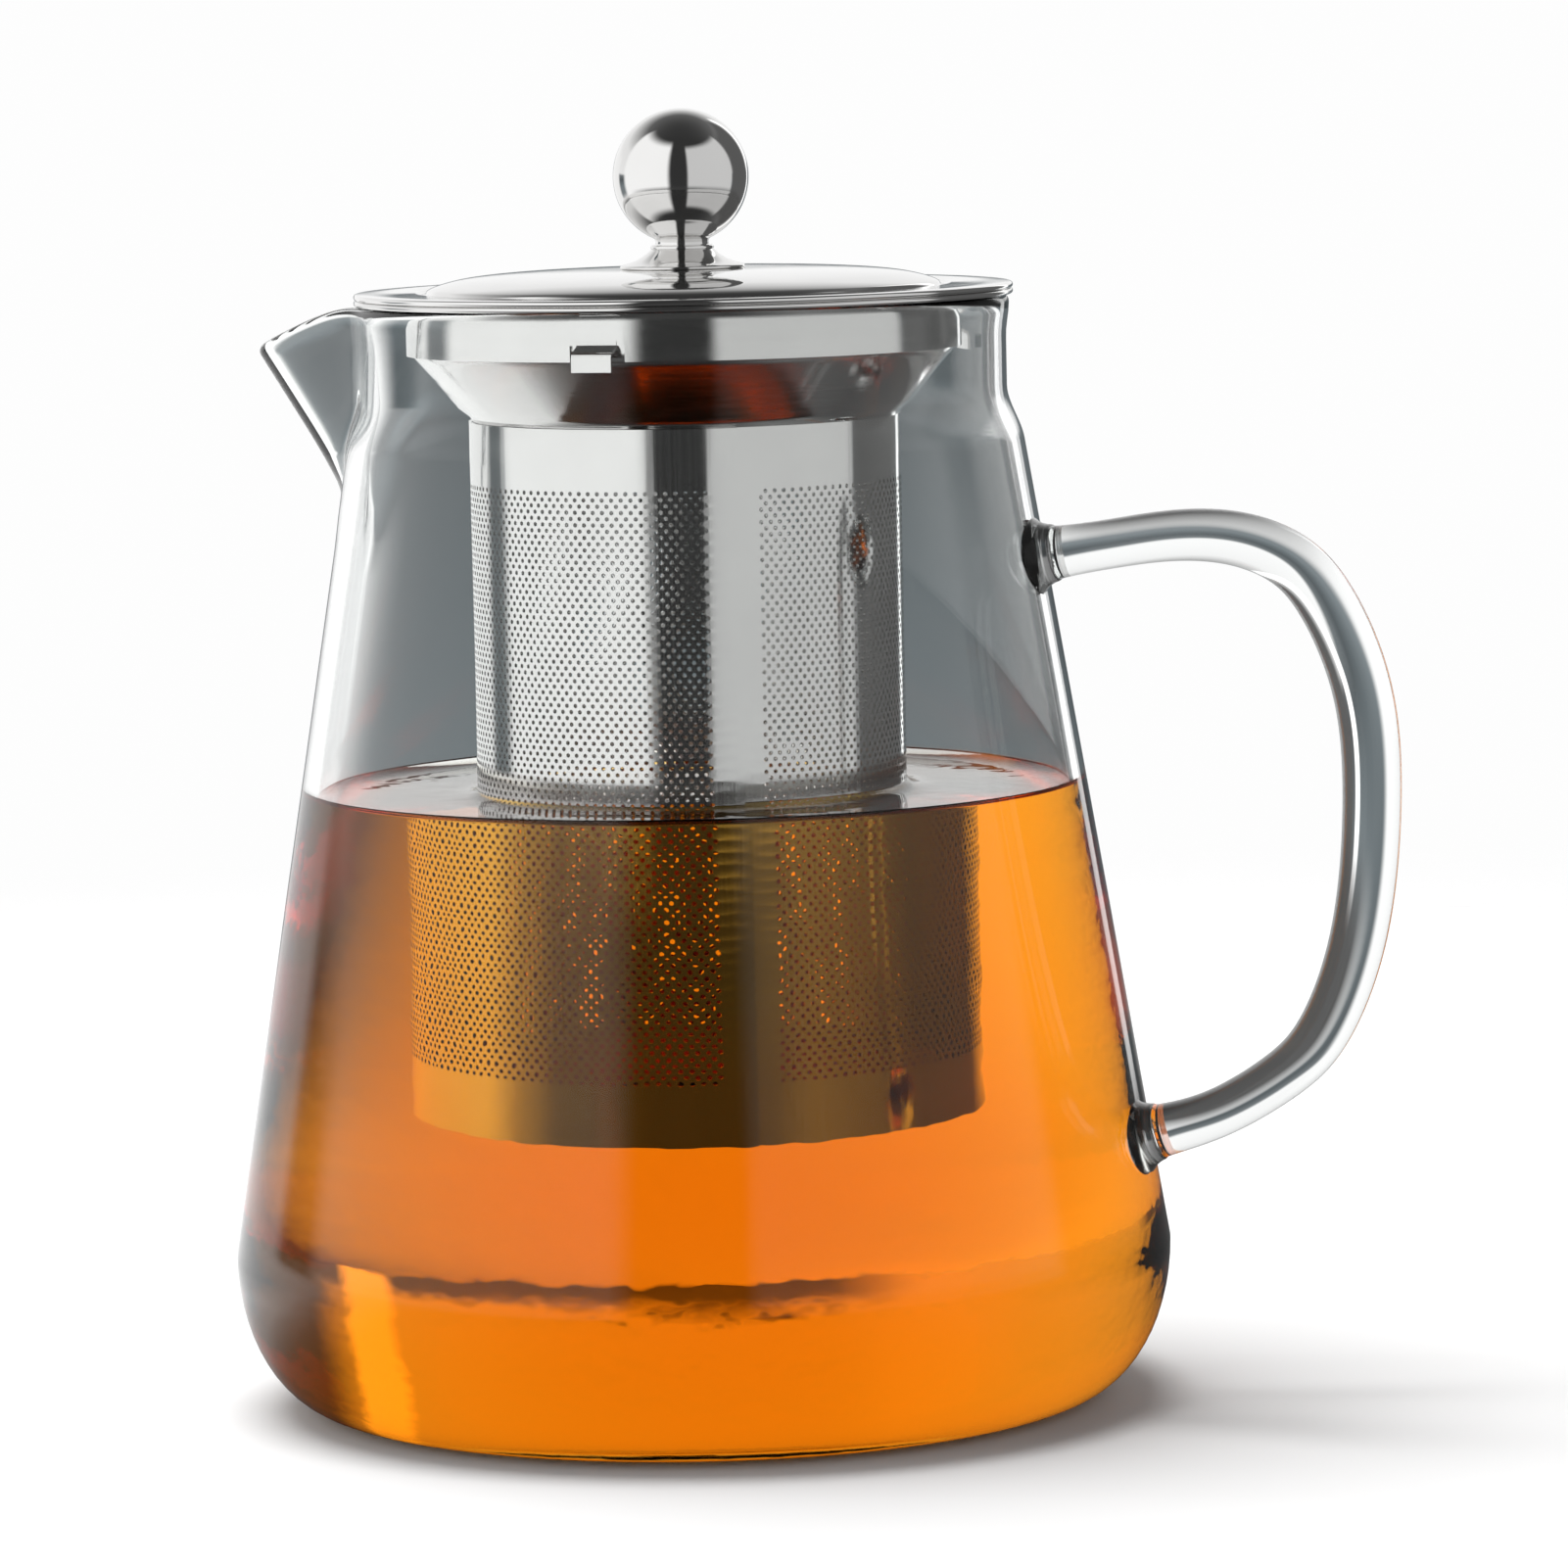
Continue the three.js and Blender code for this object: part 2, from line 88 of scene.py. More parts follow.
# %% Place the camera
VIEW_AZIMUTH = math.radians(14)
CAMERA_DISTANCE = 1.023
CAMERA_HEIGHT = 0.185
CAMERA_LEAN = math.radians(-1.19)
right = Vector((math.cos(VIEW_AZIMUTH), math.sin(VIEW_AZIMUTH), 0))
away = Vector((-math.sin(VIEW_AZIMUTH), math.cos(VIEW_AZIMUTH), 0))
aim = right * 0.0119 + Vector((0, 0, 0.0812))
camera_data = bpy.data.cameras.new("camera")
camera_data.lens = 178.5
camera_data.sensor_width = 36
camera_data.clip_end = 20
camera = bpy.data.objects.new("camera", camera_data)
scene.collection.objects.link(camera)
place = Vector((0, 0, CAMERA_HEIGHT)) - away * CAMERA_DISTANCE
look = (aim - place).to_track_quat("-Z", "Y").to_matrix().to_4x4()
camera.matrix_world = Matrix.Translation(place) @ look @ Matrix.Rotation(CAMERA_LEAN, 4, "Z")
scene.camera = camera
print("camera at", [round(v, 3) for v in place])

# %% [markdown]
# ## Node helpers
# Every finish below is a small network of procedural nodes. These helpers make one node and wire it up in a
# line, so that each finish reads as a short recipe.

# %% Helpers for materials
def new_material(name):
    material = bpy.data.materials.new(name)
    material.use_nodes = True
    tree = material.node_tree
    return material, tree, tree.nodes["Principled BSDF"]


def node(tree, kind, inputs=None, **settings):
    """A node of the given kind; inputs maps a socket's name or number to a value or to another socket."""
    made = tree.nodes.new(kind)
    for key, value in settings.items():
        setattr(made, key, value)
    for key, value in (inputs or {}).items():
        if isinstance(value, bpy.types.NodeSocket):
            tree.links.new(value, made.inputs[key])
        else:
            made.inputs[key].default_value = value
    return made


def ramp(tree, factor, stops):
    """A colour ramp from (position, grey) or (position, colour) stops."""
    made = node(tree, "ShaderNodeValToRGB", {0: factor})
    elements = made.color_ramp.elements
    while len(elements) < len(stops):
        elements.new(0.5)
    for element, (position, tone) in zip(elements, stops):
        element.position = position
        element.color = (tone, tone, tone, 1) if isinstance(tone, (int, float)) else (*tone, 1)
    return made.outputs["Color"]


def use(piece, *materials):
    piece.data.materials.clear()
    for material in materials:
        piece.data.materials.append(material)


# %% [markdown]
# ## Studio
# Steel and glass show nothing but the room they stand in, so the room is designed like a piece of its own.
# A bright softbox stands on the left and a greyer one on the right. The gap between them, where the viewer
# stands, stays dark: it draws the dark upright stripe that tells the eye that steel is round. Tea in a round
# pot is a lens that swaps left and right, so a low bright panel at the back left lights the tea's right
# side, and a dark one at the back right deepens its left. Lamps would do it, but they'd have to be huge.
# Painting the panels on the sky by direction gives the same light with no edges to hide.

# %% Tools for painting the room by direction
world = bpy.data.worlds.new("room")
scene.world = world
world.use_nodes = True
room = world.node_tree
room.nodes.clear()
direction = node(room, "ShaderNodeTexCoord").outputs["Generated"]
up = node(room, "ShaderNodeSeparateXYZ", {0: direction}).outputs["Z"]
to_right = node(room, "ShaderNodeVectorMath", {0: direction, 1: tuple(right)}, operation="DOT_PRODUCT")
to_front = node(room, "ShaderNodeVectorMath", {0: direction, 1: tuple(-away)}, operation="DOT_PRODUCT")
azimuth = node(
    room,
    "ShaderNodeMath",
    {0: to_right.outputs["Value"], 1: to_front.outputs["Value"]},
    operation="ARCTAN2",
).outputs[0]


def step_at(tree, value, place, soft, rising=True):
    """0 to 1 as value passes a place, or 1 to 0, over a soft edge."""
    edge = node(
        tree,
        "ShaderNodeMapRange",
        {"Value": value, "From Min": place - soft, "From Max": place + soft},
        interpolation_type="SMOOTHSTEP",
    )
    edge.inputs["To Min"].default_value = 0.0 if rising else 1.0
    edge.inputs["To Max"].default_value = 1.0 if rising else 0.0
    return edge.outputs[0]


def times(tree, *factors):
    product = factors[0]
    for factor in factors[1:]:
        product = node(tree, "ShaderNodeMath", {0: product, 1: factor}, operation="MULTIPLY").outputs[0]
    return product


def blend(tree, mask, under, over):
    """Colour over laid on colour under through a mask."""
    mixed = node(tree, "ShaderNodeMix", data_type="RGBA")
    tree.links.new(mask, mixed.inputs["Factor"])
    for number, tone in ((6, under), (7, over)):
        if isinstance(tone, bpy.types.NodeSocket):
            tree.links.new(tone, mixed.inputs[number])
        else:
            colour = tone if isinstance(tone, tuple) else (tone, tone, tone)
            mixed.inputs[number].default_value = (*colour, 1)
    return mixed.outputs[2]


# %% Back wall, dark front and softboxes
# sine of the height angle -> brightness of the wall behind the pot
WALL_TONES = [
    (-0.60, 0.30),
    (-0.14, (0.21, 0.24, 0.255)),
    (-0.10, (0.155, 0.18, 0.192)),
    (-0.045, (0.105, 0.12, 0.128)),
    (0.015, (0.18, 0.20, 0.21)),
    (0.05, 1.0),
    (0.40, 0.95),
    (0.60, 0.55),
    (0.78, 0.14),
    (1.0, 0.06),
]
SOFTBOXES = [
    (98, 150, 5, -0.60, 0.75, 0.10, 0.12),
    (-170, -130, 4, -0.60, 0.22, 0.06, 1.05),
    (-112, -21, 5, -0.45, 0.82, 0.08, 1.15),
    (12, 98, 3, -0.45, 0.76, 0.06, 0.70),
    (152, 158, 1, -0.30, 0.60, 0.05, 1.6),
]
place_up = node(room, "ShaderNodeMapRange", {"Value": up, "From Min": -0.6, "From Max": 1.0}).outputs[0]
wall = ramp(room, place_up, [((z + 0.6) / 1.6, tone) for z, tone in WALL_TONES])
behind = step_at(room, to_front.outputs["Value"], 0.0, 0.45, rising=False)
tones = blend(room, behind, 0.04, wall)
for left_edge, right_edge, edge, low, high, high_edge, tone in SOFTBOXES:
    mask = times(
        room,
        step_at(room, azimuth, math.radians(left_edge), math.radians(edge)),
        step_at(room, azimuth, math.radians(right_edge), math.radians(edge), rising=False),
        step_at(room, up, low, high_edge),
        step_at(room, up, high, high_edge, rising=False),
    )
    tones = blend(room, mask, tones, tone)
PAPER_WHITE = 0.985
seen = node(room, "ShaderNodeLightPath").outputs["Is Camera Ray"]
room_light = node(room, "ShaderNodeBackground", {"Color": blend(room, seen, tones, PAPER_WHITE)})
room_out = node(room, "ShaderNodeOutputWorld")
room.links.new(room_light.outputs[0], room_out.inputs["Surface"])
scene.view_settings.view_transform = "Standard"
scene.cycles.max_bounces = 32
scene.cycles.transmission_bounces = 24
scene.cycles.glossy_bounces = 8
scene.cycles.transparent_max_bounces = 16
print(len(SOFTBOXES), "softboxes painted on the room")

# %% [markdown]
# The pot stands on a round of white paper that melts into the white behind it. Seen straight on, the paper
# is lit from above, so the pot has a soft contact shadow. Seen through the glass and the tea, or mirrored in
# steel, the paper glows with painted light instead: bright behind and to the left, dark in front and to the
# right, with a painted shadow of the pot under it. That is not what white paper would show. It is a lighting
# choice that gives the tea its depth of colour.

# %% Paper floor
FLOOR_R = 0.7
FADE_AT = 0.50
FADE_SOFT = 0.17
bm = bmesh.new()
bmesh.ops.create_circle(bm, cap_ends=True, segments=128, radius=FLOOR_R)
floor_mesh = bpy.data.meshes.new("floor")
bm.to_mesh(floor_mesh)
bm.free()
floor = bpy.data.objects.new("floor", floor_mesh)
floor.location.z = -0.0003
scene.collection.objects.link(floor)
paper, tree, shader = new_material("paper_with_painted_glow")
spot = node(tree, "ShaderNodeTexCoord").outputs["Object"]
grain = node(tree, "ShaderNodeTexNoise", {"Vector": spot, "Scale": 900.0, "Detail": 3.0})
shader.inputs["Base Color"].default_value = (0.88, 0.88, 0.88, 1)
shader.inputs["Roughness"].default_value = 0.9
bump = node(tree, "ShaderNodeBump", {"Height": grain.outputs["Fac"], "Strength": 0.05, "Distance": 0.0002})
tree.links.new(bump.outputs["Normal"], shader.inputs["Normal"])
across = node(tree, "ShaderNodeVectorMath", {0: spot, 1: tuple(right)}, operation="DOT_PRODUCT")
ahead_of = node(tree, "ShaderNodeVectorMath", {0: spot, 1: tuple(-away)}, operation="DOT_PRODUCT")
table_turn = node(
    tree,
    "ShaderNodeMath",
    {0: across.outputs["Value"], 1: ahead_of.outputs["Value"]},
    operation="ARCTAN2",
).outputs[0]
table_place = node(
    tree, "ShaderNodeMapRange", {"Value": table_turn, "From Min": -math.pi, "From Max": math.pi}
)
# painted light: the paper's glow for rays that are not from the camera, set by direction round the pot
PAINTED_LIGHT_TONES = [
    (0, 0.95), (0.04, 1.20), (0.22, 1.15), (0.27, 0.45), (0.32, 0.14), (0.444, 0.06),
    (0.556, 0.06), (0.64, 0.22), (0.72, 0.16), (0.80, 0.08), (0.93, 0.10), (0.965, 0.55), (1, 0.95),
]
painted_table_light = ramp(tree, table_place.outputs[0], PAINTED_LIGHT_TONES)
reach = node(tree, "ShaderNodeVectorMath", {0: spot}, operation="LENGTH")
# painted shadow of the pot: the glow falls almost to black close to the pot
painted_pot_shadow = node(
    tree,
    "ShaderNodeMapRange",
    {"Value": reach.outputs["Value"], "From Min": 0.05, "From Max": 0.11, "To Min": 0.04, "To Max": 1.0},
)
painted_table_glow = node(tree, "ShaderNodeEmission", {"Color": painted_table_light, "Strength": painted_pot_shadow.outputs[0]})
directly = node(tree, "ShaderNodeLightPath").outputs["Is Camera Ray"]
surface = node(tree, "ShaderNodeMixShader", {0: directly, 1: painted_table_glow.outputs[0], 2: shader.outputs[0]})
fade = step_at(tree, reach.outputs["Value"], FADE_AT, FADE_SOFT, rising=False)
nothing = node(tree, "ShaderNodeBsdfTransparent")
melted = node(tree, "ShaderNodeMixShader", {0: fade, 1: nothing.outputs[0], 2: surface.outputs[0]})
tree.links.new(melted.outputs[0], tree.nodes["Material Output"].inputs["Surface"])
use(floor, paper)

top_light = bpy.data.lights.new("top_light", "AREA")
top_light.shape = "DISK"
top_light.size = 1.1
top_light.energy = 19
top_lamp = bpy.data.objects.new("top_light", top_light)
top_lamp.location = (-0.25, 0.1, 1.2)
top_lamp.rotation_euler = (-top_lamp.location).to_track_quat("-Z", "Y").to_euler()
top_lamp.visible_camera = False
top_lamp.visible_glossy = False
top_lamp.visible_transmission = False
scene.collection.objects.link(top_lamp)
print("paper floor", FLOOR_R, "m, and a lamp above it")

# %% [markdown]
# ## Shapes turned on a lathe
# Nearly every piece here is round, so one helper turns an outline about the pot's axis. Outlines are lists
# of (radius, height) in millimetres. Pressed sheet is drawn as the line down the middle of the sheet, with
# its bends rounded, and then thickened, which is how a press shop thinks of it too.

# %% Helpers for outlines
def arc(centre_r, centre_z, radius, start, end, steps=12):
    """Points along an arc; angles in degrees, 0 pointing outwards and 90 up."""
    turns = np.radians(np.linspace(start, end, steps + 1))
    return [(centre_r + radius * math.cos(t), centre_z + radius * math.sin(t)) for t in turns]


def bend(points, radius, steps=6):
    """The same line with each inner corner rounded to the radius, or to what its legs leave room for."""
    done = [points[0]]
    for before, here, after in zip(points, points[1:], points[2:]):
        here_v = Vector(here)
        back = Vector(before) - here_v
        on = Vector(after) - here_v
        reach = min(radius, back.length * 0.45, on.length * 0.45)
        start = here_v + back.normalized() * reach
        end = here_v + on.normalized() * reach
        for t in np.linspace(0, 1, steps + 1):
            done.append(tuple(start * (1 - t) ** 2 + here_v * 2 * t * (1 - t) + end * t**2))
    done.append(points[-1])
    return done


def thicken(line, thickness):
    """The closed outline of a sheet whose middle follows the line."""
    points = np.array(line, float)
    steps = np.gradient(points, axis=0)
    steps /= np.linalg.norm(steps, axis=1)[:, None]
    side = np.stack([-steps[:, 1], steps[:, 0]], axis=1) * thickness / 2
    return [tuple(p) for p in points + side] + [tuple(p) for p in (points - side)[::-1]]


# %% Helper that turns an outline into a piece
def mesh_piece(name, bm, body, sharp=32):
    """Finishes a bmesh in millimetres: cleans it, shades it smooth up to the sharp angle, sets it riding."""
    bmesh.ops.remove_doubles(bm, verts=bm.verts, dist=0.002)
    bmesh.ops.dissolve_degenerate(bm, dist=0.0005, edges=bm.edges)
    bmesh.ops.recalc_face_normals(bm, faces=bm.faces)
    bmesh.ops.scale(bm, vec=(MM, MM, MM), verts=bm.verts)
    mesh = bpy.data.meshes.new(name)
    bm.to_mesh(mesh)
    bm.free()
    mesh.shade_smooth()
    mesh.set_sharp_from_angle(angle=math.radians(sharp))
    piece = bpy.data.objects.new(name, mesh)
    scene.collection.objects.link(piece)
    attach(piece, body)
    print(f"{name}: {len(mesh.polygons)} faces")
    return piece


def turn(bm, outline, steps=160, closed=True):
    """Spins an outline about the upright axis; a closed one makes a ring."""
    verts = [bm.verts.new((r, 0, z)) for r, z in outline]
    pairs = list(zip(verts, verts[1:]))
    if closed:
        pairs.append((verts[-1], verts[0]))
    edges = [bm.edges.new(pair) for pair in pairs]
    bmesh.ops.spin(
        bm,
        geom=verts + edges,
        cent=(0, 0, 0),
        axis=(0, 0, 1),
        angle=2 * math.pi,
        steps=steps,
        use_merge=True,
    )


def turned_piece(name, outline, body, closed=True, steps=160, sharp=32):
    bm = bmesh.new()
    turn(bm, outline, steps, closed)
    return mesh_piece(name, bm, body, sharp)


# %% [markdown]
# ## Clear glass
# Borosilicate glass has an index of about 1.47 and no colour to speak of. What makes it look like blown
# glass rather than plastic is that its walls aren't perfect: they swell and thin by hundredths of a
# millimetre over a few centimetres, and that bends the reflections. A very low, wide bump does that.
# Reflections seen head-on are held below what real glass gives, so they don't veil the tea with grey.

# %% Glass finish
HEAD_ON = (0.3, 0.3, 0.3, 1)


def clear_glass():
    material, tree, shader = new_material("borosilicate_glass")
    shader.inputs["Base Color"].default_value = (0.985, 0.995, 0.99, 1)
    shader.inputs["Roughness"].default_value = 0.0
    shader.inputs["IOR"].default_value = 1.47
    shader.inputs["Specular Tint"].default_value = HEAD_ON
    shader.inputs["Transmission Weight"].default_value = 1.0
    spot = node(tree, "ShaderNodeTexCoord").outputs["Object"]
    drawn = node(tree, "ShaderNodeMapping", {"Vector": spot, "Scale": (1, 1, 0.35)})
    swell = node(tree, "ShaderNodeTexNoise", {"Vector": drawn.outputs[0], "Scale": 38.0, "Detail": 1.0})
    waves = node(
        tree, "ShaderNodeBump", {"Height": swell.outputs["Fac"], "Strength": 0.25, "Distance": 0.0006}
    )
    tree.links.new(waves.outputs["Normal"], shader.inputs["Normal"])
    return material


glass = clear_glass()
print("glass ready")

# %% [markdown]
# ## The pot
# The body is blown into a tapered mould and its spout is pulled out of the soft rim with a tool. It could
# be a turned shape joined to a spout, but glass has no seam there. So the whole skin is one grid: rows
# follow the outline, columns go round, and near the spout the radius is swollen to a wedge with a soft
# maximum, which leaves the rounded valley of a pulled spout. The inside is the outside moved in along its
# own normal by the wall's thickness, and the rim between them is fire-polished to a half round.

# %% Sizes of the pot
FOOT_R = 49.0
HEEL_Z = 20.3
SHOULDER_R = 44.5
SHOULDER_Z = RIM_Z - 19
NECK_R = 42.3
NECK_Z = RIM_Z - 12
SPOUT_REACH = NECK_R + 15.6
RIM_BEAD = 0.45
WALL = 2.2
FOOT_WALL = 3.2
LIP_DROP = 5.7
KEEL_ROOT_R = 45.7
KEEL_ROOT_Z = 119.4
WEDGE = 0.58
WEDGE_ROUND = 0.055
VALLEY = 2.6


def plain_outline():
    """The outside without the spout, from the middle of the foot to the rim: radius and height."""
    rows = [(r, 0.0) for r in (0, 10, 20, 30, 39, 45, FOOT_R)]
    for t in np.radians(np.linspace(6, 90, 15)):
        rows.append((FOOT_R + (BELLY_R - FOOT_R) * math.sin(t), HEEL_Z * (1 - math.cos(t))))
    for z in np.linspace(HEEL_Z, SHOULDER_Z, 26)[1:]:
        rows.append((BELLY_R + (SHOULDER_R - BELLY_R) * (z - HEEL_Z) / (SHOULDER_Z - HEEL_Z), z))
    lean = (SHOULDER_R - BELLY_R) / (SHOULDER_Z - HEEL_Z) * (NECK_Z - SHOULDER_Z)
    for t in np.linspace(0, 1, 13)[1:]:
        fall = (2 * t**3 - 3 * t**2 + 1) * SHOULDER_R
        fall += (t**3 - 2 * t**2 + t) * lean
        fall += (3 * t**2 - 2 * t**3) * NECK_R
        rows.append((fall, SHOULDER_Z + (NECK_Z - SHOULDER_Z) * t))
    for t in np.linspace(0, 1, 10)[1:]:
        swell = RIM_BEAD * max(0.0, (t - 0.6) / 0.4) ** 2 * (3 - 2 * max(0.0, (t - 0.6) / 0.4))
        rows.append((NECK_R + swell, NECK_Z + (RIM_Z - WALL / 2 - NECK_Z) * t))
    return np.array(rows)


outline = plain_outline()
print("outline rows:", len(outline))


# %% The skin of the pot as a grid
def soft_max(a, b, width):
    return (a + b + np.sqrt((a - b) ** 2 + width**2)) / 2


def ease(x):
    x = np.clip(x, 0, 1)
    return x * x * (3 - 2 * x)


def pot_skin(columns=240):
    """Outside points of the pot, rows by columns, in millimetres. Columns are closest at the spout."""
    share = np.linspace(-1, 1, columns, endpoint=False)
    off = math.pi * share * (0.45 + 0.55 * share**2)
    near = ease((math.radians(62) - np.abs(off)) / math.radians(32))
    lean = np.sqrt(np.sin(off) ** 2 + WEDGE_ROUND**2) + WEDGE * np.cos(off)
    wedge = np.where(near > 0, (WEDGE + WEDGE_ROUND) / np.maximum(lean, 0.2), 0)
    out_top = near * np.maximum(soft_max(NECK_R, SPOUT_REACH * wedge, VALLEY) - NECK_R, 0)
    drop = LIP_DROP * np.clip(out_top / (SPOUT_REACH - NECK_R), 0, 1)
    skin = []
    for r, z in outline:
        level = z - drop * ease((z - KEEL_ROOT_Z) / (RIM_Z - KEEL_ROOT_Z)) ** 0.8
        climb = (level - KEEL_ROOT_Z) / (RIM_Z - LIP_DROP - WALL / 2 - KEEL_ROOT_Z)
        apex = KEEL_ROOT_R + (SPOUT_REACH - KEEL_ROOT_R) * climb
        pulled = soft_max(r, apex * wedge, VALLEY) - r
        radius = r + near * ease(climb * 6 + 1.2) * pulled if z > KEEL_ROOT_Z - 6 else r + 0 * off
        skin.append(np.stack([-radius * np.cos(off), -radius * np.sin(off), level + 0 * off], axis=1))
    return np.array(skin)


def normals(skin):
    """Unit normals of a grid of points, facing out, and the unit direction up the rows."""
    up = np.gradient(skin, axis=0)
    up[0] = up[1]
    round_ = np.roll(skin, -1, axis=1) - np.roll(skin, 1, axis=1)
    face = np.cross(round_, up)
    face[0] = (0, 0, -1)
    length = np.linalg.norm(face, axis=2, keepdims=True)
    face = face / np.maximum(length, 1e-9)
    return face, up / np.maximum(np.linalg.norm(up, axis=2, keepdims=True), 1e-9)


skin = pot_skin()
out_normals, up_rows = normals(skin)
print(f"spout reaches {-skin[..., 0].min():.1f} mm, its lip is at {skin[-1, 120, 2]:.1f} mm")


# %% Close the skin into a wall
def pot_wall():
    rows = len(skin)
    thickness = np.interp(np.arange(rows), [0, 6, 22, rows - 1], [FOOT_WALL, FOOT_WALL, WALL, WALL])
    inside = skin - out_normals * thickness[:, None, None]
    top, n, d = skin[-1], out_normals[-1], up_rows[-1]
    middle = top - n * WALL / 2
    roll = []
    for turn_angle in np.radians(np.linspace(0, 180, 9)[1:-1]):
        roll.append(middle + WALL / 2 * (n * math.cos(turn_angle) + d * math.sin(turn_angle)))
    return np.concatenate([skin, np.array(roll), inside[::-1]])


def grid_bmesh(grid):
    """A bmesh from rows of points that close on themselves going round."""
    bm = bmesh.new()
    made = [[bm.verts.new(p) for p in row] for row in grid]
    columns = len(made[0])
    for low, high in zip(made, made[1:]):
        for i in range(columns):
            j = (i + 1) % columns
            bm.faces.new((low[i], low[j], high[j], high[i]))
    return bm


pot = mesh_piece("pot_glass", grid_bmesh(pot_wall()), "pot", sharp=60)
use(pot, glass)
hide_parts("pot_body")

# %% [markdown]
# ## The handle
# A solid rod of glass, a little flattened, is bent over a form and melted on at both ends. It could be a
# curve with a bevel, but a row of rings swept one by one lets the section swell towards its ends, where the
# soft glass was pressed against the wall. A small gob of extra glass at each end spreads over the wall.

# %% The rod's path
HANDLE_R = BELLY_R + 28.5
HANDLE_TOP_Z = RIM_Z - 33.5
HANDLE_LOW_Z = 36.0
ROD_THICK = 6.3
GRIP_MORE = 1.4
ROD_WIDE = 9.4
BOSS_LONG = 2.6


def cone_radius(z):
    return BELLY_R + (SHOULDER_R - BELLY_R) * (z - HEEL_Z) / (SHOULDER_Z - HEEL_Z)


def rod_path():
    """Knots of the rod's middle line in (x, z), from the upper root to the lower one."""
    return [
        (cone_radius(HANDLE_TOP_Z) + BOSS_LONG, HANDLE_TOP_Z),
        (HANDLE_R - 33.1, HANDLE_TOP_Z + 1.2),
        (HANDLE_R - 26.0, HANDLE_TOP_Z + 2.1),
        (HANDLE_R - 18.0, HANDLE_TOP_Z + 1.8),
        (HANDLE_R - 10.9, HANDLE_TOP_Z - 0.8),
        (HANDLE_R - 6.1, HANDLE_TOP_Z - 5.8),
        (HANDLE_R - 1.3, HANDLE_TOP_Z - 17.2),
        (HANDLE_R, (HANDLE_TOP_Z + HANDLE_LOW_Z) / 2 + 6),
        (HANDLE_R - 2.2, HANDLE_LOW_Z + 25.1),
        (HANDLE_R - 7.3, HANDLE_LOW_Z + 12.6),
        (HANDLE_R - 12.2, HANDLE_LOW_Z + 7.6),
        (HANDLE_R - 20.8, HANDLE_LOW_Z + 2.5),
        (cone_radius(HANDLE_LOW_Z) + BOSS_LONG, HANDLE_LOW_Z),
    ]


def smooth_through(knots, per_span=12):
    """Points on a smooth curve through the knots, found by solving for a natural cubic spline."""
    knots = np.array(knots, float)
    chord = np.concatenate([[0], np.cumsum(np.linalg.norm(np.diff(knots, axis=0), axis=1) ** 0.5)])
    gaps = np.diff(chord)
    count = len(knots)
    system = np.eye(count)
    right_side = np.zeros((count, knots.shape[1]))
    for i in range(1, count - 1):
        system[i, i - 1 : i + 2] = gaps[i - 1], 2 * (gaps[i - 1] + gaps[i]), gaps[i]
        rise = (knots[i + 1] - knots[i]) / gaps[i] - (knots[i] - knots[i - 1]) / gaps[i - 1]
        right_side[i] = 6 * rise
    curve = np.linalg.solve(system, right_side)
    points = []
    for i, gap in enumerate(gaps):
        for t in np.linspace(0, gap, per_span, endpoint=i == len(gaps) - 1):
            left = gap - t
            bendy = (curve[i] * left**3 + curve[i + 1] * t**3) / (6 * gap)
            ends = (knots[i] / gap - curve[i] * gap / 6) * left
            ends += (knots[i + 1] / gap - curve[i + 1] * gap / 6) * t
            points.append(bendy + ends)
    return np.array(points)


path = smooth_through(rod_path())
print("rod length", round(float(np.linalg.norm(np.diff(path, axis=0), axis=1).sum()), 1), "mm")


# %% Sweep the rod
def sweep(path, wide, thick, around=40):
    """Oval rings along a path in the X-Z plane; wide and thick are half sizes for each ring."""
    ahead = np.gradient(path, axis=0)
    ahead /= np.linalg.norm(ahead, axis=1)[:, None]
    rings = []
    for (x, z), (tx, tz), a, b in zip(path, ahead, wide, thick):
        ring = []
        for t in np.linspace(0, 2 * math.pi, around, endpoint=False):
            across = a * math.cos(t)
            inward = b * math.sin(t)
            ring.append((x - tz * inward, across, z + tx * inward))
        rings.append(ring)
    return rings


def close_ends(bm, around):
    bm.verts.ensure_lookup_table()
    total = len(bm.verts)
    bm.faces.new([bm.verts[i] for i in range(around)][::-1])
    bm.faces.new([bm.verts[i] for i in range(total - around, total)])


steps_out = np.arange(len(path))
root = np.exp(-steps_out / 5.0) + np.exp(-(len(path) - 1 - steps_out) / 5.0)
wide = ROD_WIDE / 2 + 0.5 * root
grip = np.sin(np.linspace(0, math.pi, len(path))) ** 2
thick = (ROD_THICK + GRIP_MORE * grip) / 2 + 0.35 * root
rod_bm = grid_bmesh(sweep(path, wide, thick))
close_ends(rod_bm, 40)
rod = mesh_piece("handle_rod", rod_bm, "pot", sharp=60)
use(rod, glass)
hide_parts("handle")


